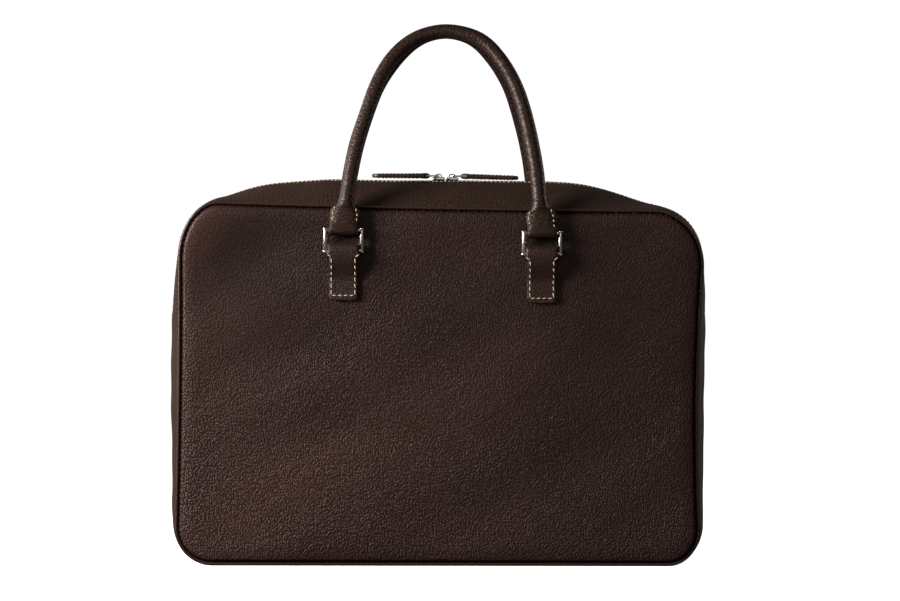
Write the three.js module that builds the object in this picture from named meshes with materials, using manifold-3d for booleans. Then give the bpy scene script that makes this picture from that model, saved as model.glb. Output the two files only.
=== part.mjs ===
// Business bag: a leather briefcase standing on its flat base, zipped shut, with two rolled
// handles. Millimetres, +X to the right seen from the front, +Y to the back, +Z up, and the
// origin on the floor under the middle of the bag.

import * as THREE from 'three';
import Module from 'manifold-3d';
import { mergeVertices } from 'three/addons/utils/BufferGeometryUtils.js';

const wasm = await Module();
wasm.setup();

// Clearance between pieces that lie against each other, and where their flat facets differ:
// over the panels and over the zip tape
const GAP = 0.3;
const FACET_GAP = 0.6;

// Body: the panels' outline runs along the centre of the piping
const BODY_WIDTH = 391;
const PANEL_HEIGHT = 272;
const BODY_DEPTH = 76;
const CORNER_REACH = 40;
const PIPING_RADIUS = 1.35;
const PANEL_THICKNESS = 1.8;
const EDGE_ROLL = 3;
const EDGE_ROLL_WIDTH = 9;
const PANEL_BELLY = 3;
const DENT_DEPTH = 2.2;

// Gusset: how far it stands out past the piping along the zip and on the sides
const GUSSET_THICKNESS = 1.7;
const ZIP_RISE = 22;
const SIDE_BULGE = 7;
const BASE_SEAM_HEIGHT = 190;

// Zip
const ZIP_SLOT = 13;
const TAPE_WIDTH = 23;
const TAPE_THICKNESS = 0.7;
const CHAIN_WIDTH = 5.6;
const CHAIN_THICKNESS = 1;
const SLIDER_MEETING_X = 6.4;
const SLIDER_LENGTH = 9.6;
const SLIDER_WIDTH = 8.4;
const SLIDER_HEIGHT = 2.6;
const SLIDER_SPACING = 0.8;
const CROWN_HEIGHT = 2.8;
const CROWN_WIDTH = 2;
const CROWN_WALL = 0.8;
const LINK_WIRE_RADIUS = 0.7;
const LINK_LENGTH = 13.2;
const LINK_WIDTH = 9;
const TONGUE_LENGTH = 41;
const TONGUE_WIDTH = 11;
const TONGUE_THICKNESS = 3.7;
const TONGUE_EYE_WALL = 1.2;

// Rings that join the handles to the tabs, by their drop below the panels' top edge
const RING_SPACING = 149.4;
const RING_OFFSET = 3.5;
const RING_DROP = 28.35;
const RING_TILT = 0.9;
const RING_OUTER_WIDTH = 30.5;
const RING_OUTER_HEIGHT = 18.5;
const RING_WIRE_RADIUS = 1.5;
const RING_CORNER = 1.65;

// Leather loops that fill the rings' bars, and the tabs below them
const LOOP_LEATHER = 3.4;
const TAB_WIDTH = 21.5;
const TAB_LENGTH = 38.4;
const TAB_THICKNESS = 3;
const TAB_CORNER = 3;

// Rolled handles, measured from the ring's upper bar
const HANDLE_RISE = 152.2;
const HANDLE_DIAMETER = 11.6;
const HANDLE_LOOP_SETBACK = 0.9;
const HANDLE_ROOT_THICKNESS = 8;
const HANDLE_TOP_HALF_GAP = 7;

// Fineness of the facets
const CORNER_STEPS = 6;
const PIPING_SIDES = 6;
const HANDLE_SIDES = 10;
const HANDLE_STEPS = 36;
const WIRE_SIDES = 8;
const LOOP_SIDES = 14;

const LEATHER = { color: 0x3b2a22, roughness: 0.55, metalness: 0 };
const GUSSET_LEATHER = { color: 0x4a3528, roughness: 0.6, metalness: 0 };
const ZIP_CLOTH = { color: 0x2a211c, roughness: 0.9, metalness: 0 };
const NICKEL = { color: 0xc9c7c2, roughness: 0.25, metalness: 1 };

const bag = new THREE.Group();

// Corners of the outline seen from the front, anticlockwise from the lower left. across is a
// share of half the body's width, up of the panel's height, and the rounding reaches along
// the level and the upright side by shares of CORNER_REACH. steps and bow belong to the side
// that follows: bow is its outward bend as a share of PIPING_RADIUS.
const CORNERS = [
  { across: -1.007, up: 0, level: 0.69, upright: 0.7, steps: 7, bow: 0 },
  { across: 1.013, up: 0, level: 0.57, upright: 0.67, steps: 6, bow: -4.6 },
  { across: 1.025, up: 0.981, level: 0.9, upright: 1.05, steps: 12, bow: -1.75 },
  { across: -0.993, up: 1.004, level: 0.73, upright: 1.08, steps: 6, bow: -1.1 },
];

// How far the gusset stands out, by the clock angle round the bag's middle: 0 is the right
// side, 90 the top, 180 the left side and 270 the base. zip is a share of ZIP_RISE and side
// one of SIDE_BULGE. sharp is the power of the section's curve: low on the tented top.
const GUSSET_TABLE = [
  { clock: 0, zip: 0, side: 1.0, sharp: 2.4 },
  { clock: 16, zip: 0, side: 0.9, sharp: 2.4 },
  { clock: 27, zip: 0, side: 0.6, sharp: 2.3 },
  { clock: 34, zip: 0, side: 0.2, sharp: 2.2 },
  { clock: 42, zip: 0, side: 0.42, sharp: 2.0 },
  { clock: 48.5, zip: 0, side: 0.3, sharp: 1.9 },
  { clock: 50, zip: 0.12, side: 0.28, sharp: 1.9 },
  { clock: 54, zip: 0.5, side: 0.2, sharp: 1.8 },
  { clock: 57.5, zip: 0.77, side: 0.1, sharp: 1.8 },
  { clock: 61, zip: 0.92, side: 0.05, sharp: 1.7 },
  { clock: 66, zip: 0.985, side: 0, sharp: 1.7 },
  { clock: 83, zip: 0.975, side: 0, sharp: 1.7 },
  { clock: 100, zip: 0.925, side: 0, sharp: 1.7 },
  { clock: 113, zip: 0.91, side: 0, sharp: 1.7 },
  { clock: 119, zip: 0.8, side: 0, sharp: 1.7 },
  { clock: 123.5, zip: 0.67, side: 0, sharp: 1.8 },
  { clock: 126.5, zip: 0.47, side: 0, sharp: 1.8 },
  { clock: 130, zip: 0.07, side: 0, sharp: 1.9 },
  { clock: 132, zip: 0, side: 0.03, sharp: 2.0 },
  { clock: 143, zip: 0, side: 0.1, sharp: 2.0 },
  { clock: 148, zip: 0, side: 0.33, sharp: 2.2 },
  { clock: 154, zip: 0, side: 0.62, sharp: 2.2 },
  { clock: 161, zip: 0, side: 0.78, sharp: 2.3 },
  { clock: 172, zip: 0, side: 0.86, sharp: 2.4 },
  { clock: 187, zip: 0, side: 0.78, sharp: 2.4 },
  { clock: 200, zip: 0, side: 0.62, sharp: 2.4 },
  { clock: 214, zip: 0, side: 0.48, sharp: 2.4 },
  { clock: 222, zip: 0, side: 0.15, sharp: 2.4 },
  { clock: 228, zip: 0, side: 0, sharp: 2.4 },
  { clock: 312, zip: 0, side: 0, sharp: 2.4 },
  { clock: 319, zip: 0, side: 0.45, sharp: 2.4 },
  { clock: 326, zip: 0, side: 0.75, sharp: 2.4 },
  { clock: 340, zip: 0, side: 0.93, sharp: 2.4 },
  { clock: 360, zip: 0, side: 1.0, sharp: 2.4 },
];

// Soft dents of the front panel: place as shares of half the width and of the height, reach
// as shares of the height, depth as a share of DENT_DEPTH.
const FRONT_DENTS = [
  { across: -0.73, up: 0.86, reachAcross: 0.16, reachUp: 0.1, depth: 1 },
  { across: -0.53, up: 0.6, reachAcross: 0.15, reachUp: 0.08, depth: 0.6 },
  { across: -0.1, up: 0.36, reachAcross: 0.3, reachUp: 0.07, depth: 0.4 },
  { across: 0.72, up: 0.55, reachAcross: 0.12, reachUp: 0.3, depth: 0.6 },
];

// Sections of a handle from the ring to the top. up is a share of HANDLE_RISE. left and right
// are the front handle's legs, backL and backR the back one's, as shares of half
// RING_SPACING. lean is a share of the way in to the other handle. root is 1 at the flat root
// and 0 on the round grip, and size is a share of HANDLE_DIAMETER.
const HANDLE_TABLE = [
  { up: 0.03, left: -0.99, right: 1.0, backL: -0.99, backR: 1.0, lean: 0, root: 1, size: 1 },
  { up: 0.085, left: -0.985, right: 0.985, backL: -0.985, backR: 0.985, lean: 0, root: 0.92, size: 1 },
  { up: 0.13, left: -0.975, right: 0.977, backL: -0.975, backR: 0.975, lean: 0.02, root: 0.05, size: 1 },
  { up: 0.3, left: -0.922, right: 0.946, backL: -0.922, backR: 0.941, lean: 0.15, root: 0, size: 1 },
  { up: 0.45, left: -0.853, right: 0.894, backL: -0.855, backR: 0.883, lean: 0.31, root: 0, size: 1 },
  { up: 0.6, left: -0.753, right: 0.825, backL: -0.75, backR: 0.797, lean: 0.49, root: 0, size: 0.98 },
  { up: 0.73, left: -0.661, right: 0.738, backL: -0.645, backR: 0.703, lean: 0.65, root: 0, size: 0.96 },
  { up: 0.85, left: -0.526, right: 0.601, backL: -0.48, backR: 0.553, lean: 0.8, root: 0, size: 0.94 },
  { up: 0.91, left: -0.41, right: 0.498, backL: -0.366, backR: 0.443, lean: 0.88, root: 0, size: 0.93 },
  { up: 0.965, left: -0.258, right: 0.365, backL: -0.225, backR: 0.32, lean: 0.95, root: 0, size: 0.92 },
];
const HANDLE_TOP = { up: 1, across: 0.04, lean: 1, size: 0.92 };

const halfWidth = BODY_WIDTH / 2;
const halfDepth = BODY_DEPTH / 2;
const panelMiddle = PIPING_RADIUS + PANEL_HEIGHT / 2;

function addPiece(name, geometry, look) {
  const piece = new THREE.Mesh(geometry, new THREE.MeshStandardMaterial(look));
  piece.name = name;
  bag.add(piece);
}

// Value of a table's column at a key, blended evenly between its rows
function tableValue(table, key, column, at) {
  const next = table.findIndex((row) => row[key] >= at);
  const high = table[Math.max(next, 1)];
  const low = table[Math.max(next, 1) - 1];
  const share = (at - low[key]) / (high[key] - low[key]);
  return THREE.MathUtils.lerp(low[column], high[column], share);
}

// Closed solid from corner points and triangles, turned so that its faces point out
function solidGeometry(points, triangles) {
  let volume = 0;
  for (const [a, b, c] of triangles) {
    volume += points[a].dot(new THREE.Vector3().crossVectors(points[b], points[c]));
  }
  const turned = volume < 0 ? triangles.map(([a, b, c]) => [a, c, b]) : triangles;
  const geometry = new THREE.BufferGeometry().setFromPoints(points);
  geometry.setIndex(turned.flat());
  return geometry;
}

// Solid through a row of rings with equally many points. ends says how it closes: loop joins
// the last ring to the first, fan closes each end round its middle, and strip closes a ring
// whose second half lies under its first.
function loft(rings, ends) {
  const count = rings[0].length;
  const points = rings.flat();
  const triangles = [];
  const spans = ends === 'loop' ? rings.length : rings.length - 1;
  for (let ring = 0; ring < spans; ring++) {
    const here = ring * count;
    const there = ((ring + 1) % rings.length) * count;
    for (let i = 0; i < count; i++) {
      const next = (i + 1) % count;
      triangles.push([here + i, here + next, there + next]);
      triangles.push([here + i, there + next, there + i]);
    }
  }
  if (ends === 'fan') {
    for (const [ring, first, second] of [[0, 1, 0], [rings.length - 1, 0, 1]]) {
      const middle = new THREE.Vector3();
      rings[ring].forEach((point) => middle.addScaledVector(point, 1 / count));
      points.push(middle);
      for (let i = 0; i < count; i++) {
        const edge = [ring * count + i, ring * count + ((i + 1) % count)];
        triangles.push([edge[first], edge[second], points.length - 1]);
      }
    }
  }
  if (ends === 'strip') {
    for (const [ring, flip] of [[0, true], [rings.length - 1, false]]) {
      const start = ring * count;
      for (let i = 0; i < count / 2 - 1; i++) {
        const corners = [start + i, start + i + 1, start + count - 2 - i, start + count - 1 - i];
        const [a, b, c, d] = flip ? corners.reverse() : corners;
        triangles.push([a, b, c]);
        triangles.push([a, c, d]);
      }
    }
  }
  return solidGeometry(points, triangles);
}

// Joining and cutting
function toManifold(geometry) {
  const bare = geometry.clone();
  bare.deleteAttribute('normal');
  bare.deleteAttribute('uv');
  const merged = mergeVertices(bare, 1e-4);
  const mesh = new wasm.Mesh({
    numProp: 3,
    vertProperties: new Float32Array(merged.attributes.position.array),
    triVerts: new Uint32Array(merged.index.array),
  });
  return new wasm.Manifold(mesh);
}

function fromManifold(solid) {
  const mesh = solid.getMesh();
  const geometry = new THREE.BufferGeometry();
  geometry.setAttribute('position', new THREE.BufferAttribute(mesh.vertProperties, 3));
  geometry.setIndex(new THREE.BufferAttribute(mesh.triVerts, 1));
  return geometry;
}

// Bar along X of a round section
function barAlongX(radius, length, x, y, z, sides) {
  const bar = new THREE.CylinderGeometry(radius, radius, length, sides);
  bar.rotateZ(Math.PI / 2);
  bar.translate(x, y, z);
  return bar;
}

function block(width, depth, height, x, y, z) {
  return new THREE.BoxGeometry(width, depth, height).translate(x, y, z);
}

// Angle round the bag's middle, counted anticlockwise from the right side
function clockAngle(x, z) {
  const angle = Math.atan2((z - panelMiddle) / (PANEL_HEIGHT / 2), x / halfWidth);
  return (THREE.MathUtils.radToDeg(angle) + 360) % 360;
}

// Outline of the panels: rounded corners joined by nearly straight sides
function outlineStations() {
  const corners = CORNERS.map((row) => {
    const place = new THREE.Vector2(row.across * halfWidth, PIPING_RADIUS + row.up * PANEL_HEIGHT);
    return { ...row, place };
  });
  const rounds = corners.map((corner, i) => {
    const before = corners[(i + 3) % 4].place.clone().sub(corner.place).normalize();
    const after = corners[(i + 1) % 4].place.clone().sub(corner.place).normalize();
    const reachBefore = (i % 2 === 0 ? corner.upright : corner.level) * CORNER_REACH;
    const reachAfter = (i % 2 === 0 ? corner.level : corner.upright) * CORNER_REACH;
    const start = corner.place.clone().addScaledVector(before, reachBefore);
    const end = corner.place.clone().addScaledVector(after, reachAfter);
    const roundness = 0.552;
    const startPull = start.clone().lerp(corner.place, roundness);
    const endPull = end.clone().lerp(corner.place, roundness);
    return new THREE.CubicBezierCurve(start, startPull, endPull, end);
  });
  const points = [];
  rounds.forEach((round, i) => {
    points.push(...round.getPoints(CORNER_STEPS).slice(0, -1));
    const from = round.getPoint(1);
    const to = rounds[(i + 1) % 4].getPoint(0);
    const along = to.clone().sub(from).normalize();
    const outward = new THREE.Vector2(along.y, -along.x);
    const middle = from.clone().lerp(to, 0.5);
    middle.addScaledVector(outward, corners[i].bow * PIPING_RADIUS);
    const side = new THREE.QuadraticBezierCurve(from, middle, to);
    points.push(...side.getPoints(corners[i].steps).slice(0, -1));
  });
  return points.map((point, i) => {
    const along = points[(i + 1) % points.length].clone();
    along.sub(points[(i + points.length - 1) % points.length]).normalize();
    return { x: point.x, z: point.y, nx: along.y, nz: -along.x, clock: clockAngle(point.x, point.y) };
  });
}

const stations = outlineStations();
const stationPairs = stations.map((station, i) => [station, stations[(i + 1) % stations.length]]);

// Nearest distance from a point of the panel to the outline
function insetOf(x, z) {
  let nearest = Infinity;
  stationPairs.forEach(([from, to]) => {
    const run = { x: to.x - from.x, z: to.z - from.z };
    const along = ((x - from.x) * run.x + (z - from.z) * run.z) / (run.x ** 2 + run.z ** 2);
    const share = THREE.MathUtils.clamp(along, 0, 1);
    const distance = Math.hypot(x - from.x - share * run.x, z - from.z - share * run.z);
    nearest = Math.min(nearest, distance);
  });
  return nearest;
}

// How far a panel's outer face stands out from the piping's plane
function panelDepth(x, z, dents) {
  const across = x / halfWidth;
  const up = (z - panelMiddle) / (PANEL_HEIGHT / 2);
  const flat = 1 - Math.min(insetOf(x, z) / EDGE_ROLL_WIDTH, 1);
  const roll = EDGE_ROLL * Math.sqrt(1 - flat * flat);
  const belly = PANEL_BELLY * Math.max(1 - across ** 2, 0) * Math.max(1 - up ** 2, 0);
  let depth = PANEL_THICKNESS / 2 + roll + belly;
  for (const dent of dents) {
    const dx = (across - dent.across) * halfWidth / (dent.reachAcross * PANEL_HEIGHT);
    const dz = (z - PIPING_RADIUS - dent.up * PANEL_HEIGHT) / (dent.reachUp * PANEL_HEIGHT);
    depth -= DENT_DEPTH * dent.depth * (1 - flat) * Math.exp(-dx * dx - dz * dz);
  }
  return depth;
}

// Panels: a leather sheet inside the piping, padded to a rolled edge and a slight belly.
// face is -1 on the front and 1 on the back.
function panelGeometry(face, dents) {
  const rim = PIPING_RADIUS + GAP;
  const rollRings = [0, 0.12, 0.4, 1].map((share) => rim + share * EDGE_ROLL_WIDTH);
  const innermost = rollRings[rollRings.length - 1];
  const rings = rollRings.map((inset) => stations.map((station) => {
    return { x: station.x - station.nx * inset, z: station.z - station.nz * inset };
  }));
  for (const share of [0.86, 0.66, 0.44, 0.2]) {
    rings.push(stations.map((station) => ({
      x: (station.x - station.nx * innermost) * share,
      z: panelMiddle + (station.z - station.nz * innermost - panelMiddle) * share,
    })));
  }
  const layer = (sink) => rings.map((ring) => ring.map(({ x, z }) => {
    const depth = halfDepth + panelDepth(x, z, dents) - sink;
    return new THREE.Vector3(x, face * depth, z);
  }));
  return loft([...layer(0).reverse(), ...layer(PANEL_THICKNESS)], 'fan');
}

addPiece('front_panel', panelGeometry(-1, FRONT_DENTS), LEATHER);
addPiece('back_panel', panelGeometry(1, []), LEATHER);

// Piping: a thin roll of smooth leather along each panel's edge
function tubeLoop(centres, radius, sides, upright) {
  const rings = centres.map((centre, i) => {
    const along = centres[(i + 1) % centres.length].clone();
    along.sub(centres[(i + centres.length - 1) % centres.length]).normalize();
    const outward = new THREE.Vector3().crossVectors(along, upright).normalize();
    return Array.from({ length: sides }, (_, k) => {
      const angle = (2 * Math.PI * k) / sides;
      const point = centre.clone().addScaledVector(outward, radius * Math.cos(angle));
      return point.addScaledVector(upright, radius * Math.sin(angle));
    });
  });
  return loft(rings, 'loop');
}

const depthAxis = new THREE.Vector3(0, 1, 0);
const upAxis = new THREE.Vector3(0, 0, 1);

function pipingGeometry(face) {
  const centres = stations.map(({ x, z }) => new THREE.Vector3(x, face * halfDepth, z));
  return tubeLoop(centres, PIPING_RADIUS, PIPING_SIDES, depthAxis);
}

addPiece('piping_front', pipingGeometry(-1), LEATHER);
addPiece('piping_back', pipingGeometry(1), LEATHER);

// Gusset: the leather band between the two pipings, flat across the zip's slot. offset is how
// far a face lies out from the band's own, so that the zip's layers follow the same curve.
const gussetHalf = halfDepth - PIPING_RADIUS - GAP;
const slotEdge = ZIP_SLOT / 2;

function gussetPoint(station, y, offset) {
  const zip = tableValue(GUSSET_TABLE, 'clock', 'zip', station.clock) * ZIP_RISE;
  const side = tableValue(GUSSET_TABLE, 'clock', 'side', station.clock) * SIDE_BULGE;
  const sharp = tableValue(GUSSET_TABLE, 'clock', 'sharp', station.clock);
  const fromMiddle = Math.max(Math.abs(y), slotEdge) / gussetHalf;
  const rise = (zip + side) * (1 - fromMiddle ** sharp);
  const out = PIPING_RADIUS + rise + offset;
  return new THREE.Vector3(station.x + station.nx * out, y, station.z + station.nz * out);
}

function gussetStrip(run, columns, offset, thickness) {
  const rings = run.map((station) => {
    const outer = columns.map((y) => gussetPoint(station, y, offset));
    const inner = columns.map((y) => gussetPoint(station, y, offset - thickness));
    return [...outer, ...inner.reverse()];
  });
  return loft(rings, 'strip');
}

// Station at a given height on the left or the right side
function sideStation(height, onRight) {
  const [low, high] = stationPairs.find(([from, to]) => {
    return from.x > 0 === onRight && from.z < height !== to.z < height;
  });
  const share = (height - low.z) / (high.z - low.z);
  const blend = (key) => THREE.MathUtils.lerp(low[key], high[key], share);
  const x = blend('x');
  return { x, z: height, nx: blend('nx'), nz: blend('nz'), clock: clockAngle(x, height) };
}

// The zip's bands run over the top from seam to seam, and the base's band below them
const zipEnd = BASE_SEAM_HEIGHT + GAP / 2;
const baseEnd = BASE_SEAM_HEIGHT - GAP / 2;
const zipRun = [
  sideStation(zipEnd, true),
  ...stations.filter(({ z }) => z > zipEnd + GAP),
  sideStation(zipEnd, false),
];
const topMiddle = stations.findIndex(({ x, z }) => x < 0 && z > BASE_SEAM_HEIGHT);
const fromTop = [...stations.slice(topMiddle), ...stations.slice(0, topMiddle)];
const baseRun = [
  sideStation(baseEnd, false),
  ...fromTop.filter(({ z }) => z < baseEnd - GAP),
  sideStation(baseEnd, true),
];

const baseColumns = [-1, -0.82, -0.5, 0, 0.5, 0.82, 1].map((share) => share * gussetHalf);
addPiece('gusset_base', gussetStrip(baseRun, baseColumns, 0, GUSSET_THICKNESS), GUSSET_LEATHER);

const tapeEdge = TAPE_WIDTH / 2;
const beyondTape = [0.36, 0.72, 1].map((share) => tapeEdge + share * (gussetHalf - tapeEdge));
for (const [name, face] of [['zip_gusset_front', -1], ['zip_gusset_back', 1]]) {
  const columns = [slotEdge, tapeEdge, ...beyondTape].map((y) => face * y);
  addPiece(name, gussetStrip(zipRun, columns, 0, GUSSET_THICKNESS), GUSSET_LEATHER);
}

// Zip: cloth tape under the gusset's edges and the closed chain in the slot
const tapeTop = -GUSSET_THICKNESS - FACET_GAP;
const tapeColumns = [-tapeEdge, -slotEdge, slotEdge, tapeEdge];
addPiece('zip_tape', gussetStrip(zipRun, tapeColumns, tapeTop, TAPE_THICKNESS), ZIP_CLOTH);

const chainTop = tapeTop + GAP + CHAIN_THICKNESS;
const chainColumns = [-0.5, 0.5].map((share) => share * CHAIN_WIDTH);
addPiece('zip_chain', gussetStrip(zipRun, chainColumns, chainTop, CHAIN_THICKNESS), NICKEL);

// Highest point of the chain between two places along the top
function chainHeight(fromX, toX) {
  const top = zipRun.filter(({ nz }) => nz > 0.9).map((station) => gussetPoint(station, 0, chainTop));
  const heights = [];
  for (let i = 1; i < top.length; i++) {
    for (const x of [fromX, toX]) {
      const share = (x - top[i].x) / (top[i - 1].x - top[i].x);
      if (share >= 0 && share <= 1) {
        heights.push(THREE.MathUtils.lerp(top[i].z, top[i - 1].z, share));
      }
    }
    if (top[i].x > fromX && top[i].x < toX) {
      heights.push(top[i].z);
    }
  }
  return Math.max(...heights);
}

// Sliders: a plate on the chain with a crown, open across the zip for the pull's link
const linkBarRoom = 2 * (LINK_WIRE_RADIUS + GAP);

function addPull(sideName, direction) {
  const inner = SLIDER_MEETING_X + direction * (SLIDER_SPACING / 2);
  const middle = inner + direction * (SLIDER_LENGTH / 2);
  const farthest = middle + direction * (LINK_LENGTH + TONGUE_LENGTH);
  const floor = chainHeight(Math.min(inner, farthest), Math.max(inner, farthest)) + GAP;
  const plateTop = floor + SLIDER_HEIGHT;
  const crownLength = linkBarRoom + 2 * CROWN_WALL;
  const crownCentre = plateTop + CROWN_HEIGHT / 2;
  const plate = block(SLIDER_LENGTH, SLIDER_WIDTH, SLIDER_HEIGHT, middle, 0, floor + SLIDER_HEIGHT / 2);
  const sunk = SLIDER_HEIGHT / 2;
  const crown = block(crownLength, CROWN_WIDTH, CROWN_HEIGHT + sunk, middle, 0, crownCentre - sunk / 2);
  const eyeHeight = CROWN_HEIGHT - CROWN_WALL;
  const eye = block(linkBarRoom, 2 * CROWN_WIDTH, eyeHeight, middle, 0, plateTop + eyeHeight / 2);
  const slider = toManifold(plate).add(toManifold(crown)).subtract(toManifold(eye));
  addPiece(`slider_${sideName}`, fromManifold(slider), NICKEL);

  const linkHeight = plateTop + GAP + LINK_WIRE_RADIUS;
  const farBar = middle + direction * (LINK_LENGTH - 2 * LINK_WIRE_RADIUS);
  const halfLink = LINK_WIDTH / 2 - LINK_WIRE_RADIUS;
  const corner = 1.5 * LINK_WIRE_RADIUS;
  const centres = roundedLoop(middle, farBar, -halfLink, halfLink, corner);
  const link = centres.map(([x, y]) => new THREE.Vector3(x, y, linkHeight));
  addPiece(`pull_link_${sideName}`, tubeLoop(link, LINK_WIRE_RADIUS, 6, upAxis), NICKEL);

  // Leather tongue: a slot near its end holds the link's far bar, and it lies on the sliders' level
  const tongueStart = farBar - direction * (LINK_WIRE_RADIUS + GAP + TONGUE_EYE_WALL);
  const tongue = tongueGeometry(tongueStart, direction, linkHeight);
  const bore = LINK_WIRE_RADIUS + GAP;
  const hole = new THREE.CylinderGeometry(bore, bore, 2 * TONGUE_WIDTH, 8);
  hole.rotateY(Math.PI / 8);
  hole.translate(farBar, 0, linkHeight);
  const slotLength = 2 * (halfLink - corner - GAP);
  const notches = [-1, 1].map((side) => {
    const width = TONGUE_WIDTH - slotLength;
    const y = side * (slotLength / 2 + width / 2);
    const length = 2 * (Math.abs(tongueStart - farBar) + bore);
    return toManifold(block(length, width, 2 * TONGUE_THICKNESS, farBar, y, linkHeight));
  });
  let cut = toManifold(tongue).subtract(toManifold(hole));
  for (const notch of notches) {
    cut = cut.subtract(notch);
  }
  addPiece(`pull_${sideName}`, fromManifold(cut), LEATHER);
}

// Corner points of a rounded rectangle, anticlockwise, three to each corner
function roundedLoop(x0, x1, y0, y1, corner) {
  const low = { x: Math.min(x0, x1), y: y0 };
  const high = { x: Math.max(x0, x1), y: y1 };
  const path = new THREE.Path();
  path.absarc(high.x - corner, high.y - corner, corner, 0, Math.PI / 2);
  path.absarc(low.x + corner, high.y - corner, corner, Math.PI / 2, Math.PI);
  path.absarc(low.x + corner, low.y + corner, corner, Math.PI, 1.5 * Math.PI);
  path.absarc(high.x - corner, low.y + corner, corner, 1.5 * Math.PI, 2 * Math.PI);
  const arcs = path.curves.filter((curve) => curve.type === 'EllipseCurve');
  return arcs.flatMap((arc) => arc.getPoints(2).map((point) => [point.x, point.y]));
}

// Flat tongue with a round far end
function tongueGeometry(start, direction, height) {
  const half = TONGUE_WIDTH / 2;
  const shape = new THREE.Shape();
  shape.moveTo(0, -half);
  shape.lineTo(TONGUE_LENGTH - half, -half);
  shape.absarc(TONGUE_LENGTH - half, 0, half, -Math.PI / 2, Math.PI / 2);
  shape.lineTo(0, half);
  const tongue = new THREE.ExtrudeGeometry(shape, {
    depth: TONGUE_THICKNESS,
    bevelEnabled: false,
    curveSegments: 5,
  });
  tongue.translate(0, 0, -TONGUE_THICKNESS / 2);
  if (direction < 0) {
    tongue.rotateZ(Math.PI);
  }
  return tongue.translate(start, 0, height);
}

addPull('left', -1);
addPull('right', 1);

// Rings: nickel wire bent to a rounded rectangle, one bar in the handle and one in the tab
const ringReach = RING_OUTER_HEIGHT / 2 - RING_WIRE_RADIUS;
const loopBore = RING_WIRE_RADIUS + GAP;
const loopRadius = loopBore + LOOP_LEATHER;
const tabLoopWidth = RING_OUTER_WIDTH - 2 * (RING_WIRE_RADIUS + RING_CORNER);
const handleLoopWidth = tabLoopWidth - 2 * HANDLE_LOOP_SETBACK;
const rings = [['left', -1], ['right', 1]].map(([sideName, side]) => ({
  sideName,
  x: RING_OFFSET + side * RING_SPACING / 2,
  z: PIPING_RADIUS + PANEL_HEIGHT - RING_DROP - side * RING_TILT,
}));

// Plane in which the rings and the handles' roots stand: just clear of the panel behind them
const behindLoops = rings.flatMap(({ x, z }) => [-1, 0, 1].flatMap((across) => {
  return [-1, 0, 1].map((up) => {
    return panelDepth(x + across * tabLoopWidth / 2, z + up * ringReach, []);
  });
}));
const ringDepth = halfDepth + Math.max(...behindLoops) + GAP + loopRadius;

function addRing(faceName, face, ring) {
  const halfRingWidth = RING_OUTER_WIDTH / 2 - RING_WIRE_RADIUS;
  const loop = roundedLoop(
    ring.x - halfRingWidth,
    ring.x + halfRingWidth,
    ring.z - ringReach,
    ring.z + ringReach,
    RING_CORNER,
  );
  const centres = loop.map(([x, z]) => new THREE.Vector3(x, face * ringDepth, z));
  const geometry = tubeLoop(centres, RING_WIRE_RADIUS, WIRE_SIDES, depthAxis);
  addPiece(`ring_${faceName}_${ring.sideName}`, geometry, NICKEL);
}

// Tabs: a leather loop round the ring's lower bar, sewn down on the panel below it. Each row
// is a share of TAB_LENGTH down from the bar and how much of TAB_CORNER the side has drawn in.
const TAB_ROWS = [
  { down: 0, drawnIn: 0 },
  { down: 0.35, drawnIn: 0 },
  { down: 0.7, drawnIn: 0 },
  { down: 0.92, drawnIn: 0 },
  { down: 0.98, drawnIn: 0.35 },
  { down: 1, drawnIn: 1 },
];

function addTab(faceName, face, ring, dents) {
  const barHeight = ring.z - ringReach;
  const rows = TAB_ROWS.map(({ down, drawnIn }) => {
    const z = barHeight - down * TAB_LENGTH;
    const half = TAB_WIDTH / 2 - drawnIn * TAB_CORNER;
    const columns = [-1, -0.4, 0.4, 1].map((share) => ring.x + share * half);
    const back = columns.map((x) => {
      return new THREE.Vector3(x, face * (halfDepth + panelDepth(x, z, dents) + FACET_GAP), z);
    });
    const front = back.map((point) => point.clone().addScaledVector(depthAxis, face * TAB_THICKNESS));
    return [...front, ...back.reverse()];
  });
  const plate = toManifold(loft(rows, 'strip'));
  const loop = barAlongX(loopRadius, tabLoopWidth, ring.x, face * ringDepth, barHeight, LOOP_SIDES);
  const bore = barAlongX(loopBore, 2 * tabLoopWidth, ring.x, face * ringDepth, barHeight, LOOP_SIDES);
  const tab = plate.add(toManifold(loop)).subtract(toManifold(bore));
  addPiece(`tab_${faceName}_${ring.sideName}`, fromManifold(tab), LEATHER);
}

// Handles: rolled leather from ring to ring, flat at the roots, leaning in at the top
function handleSections(face) {
  const [left, right] = rings;
  const [leftLeg, rightLeg] = face < 0 ? ['left', 'right'] : ['backL', 'backR'];
  const reach = RING_SPACING / 2;
  const section = (row, across, barHeight) => ({
    centre: new THREE.Vector3(
      RING_OFFSET + across * reach,
      face * THREE.MathUtils.lerp(ringDepth, HANDLE_TOP_HALF_GAP, row.lean),
      barHeight + row.up * HANDLE_RISE,
    ),
    size: new THREE.Vector3(
      THREE.MathUtils.lerp(row.size * HANDLE_DIAMETER, handleLoopWidth, row.root ?? 0),
      THREE.MathUtils.lerp(row.size * HANDLE_DIAMETER, HANDLE_ROOT_THICKNESS, row.root ?? 0),
      0,
    ),
  });
  const barOf = (ring) => ring.z + ringReach;
  const middleBar = (barOf(left) + barOf(right)) / 2;
  return [
    ...HANDLE_TABLE.map((row) => {
      return section(row, row[leftLeg], THREE.MathUtils.lerp(barOf(left), middleBar, row.up));
    }),
    section(HANDLE_TOP, HANDLE_TOP.across, middleBar),
    ...HANDLE_TABLE.toReversed().map((row) => {
      return section(row, row[rightLeg], THREE.MathUtils.lerp(barOf(right), middleBar, row.up));
    }),
  ];
}

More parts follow.
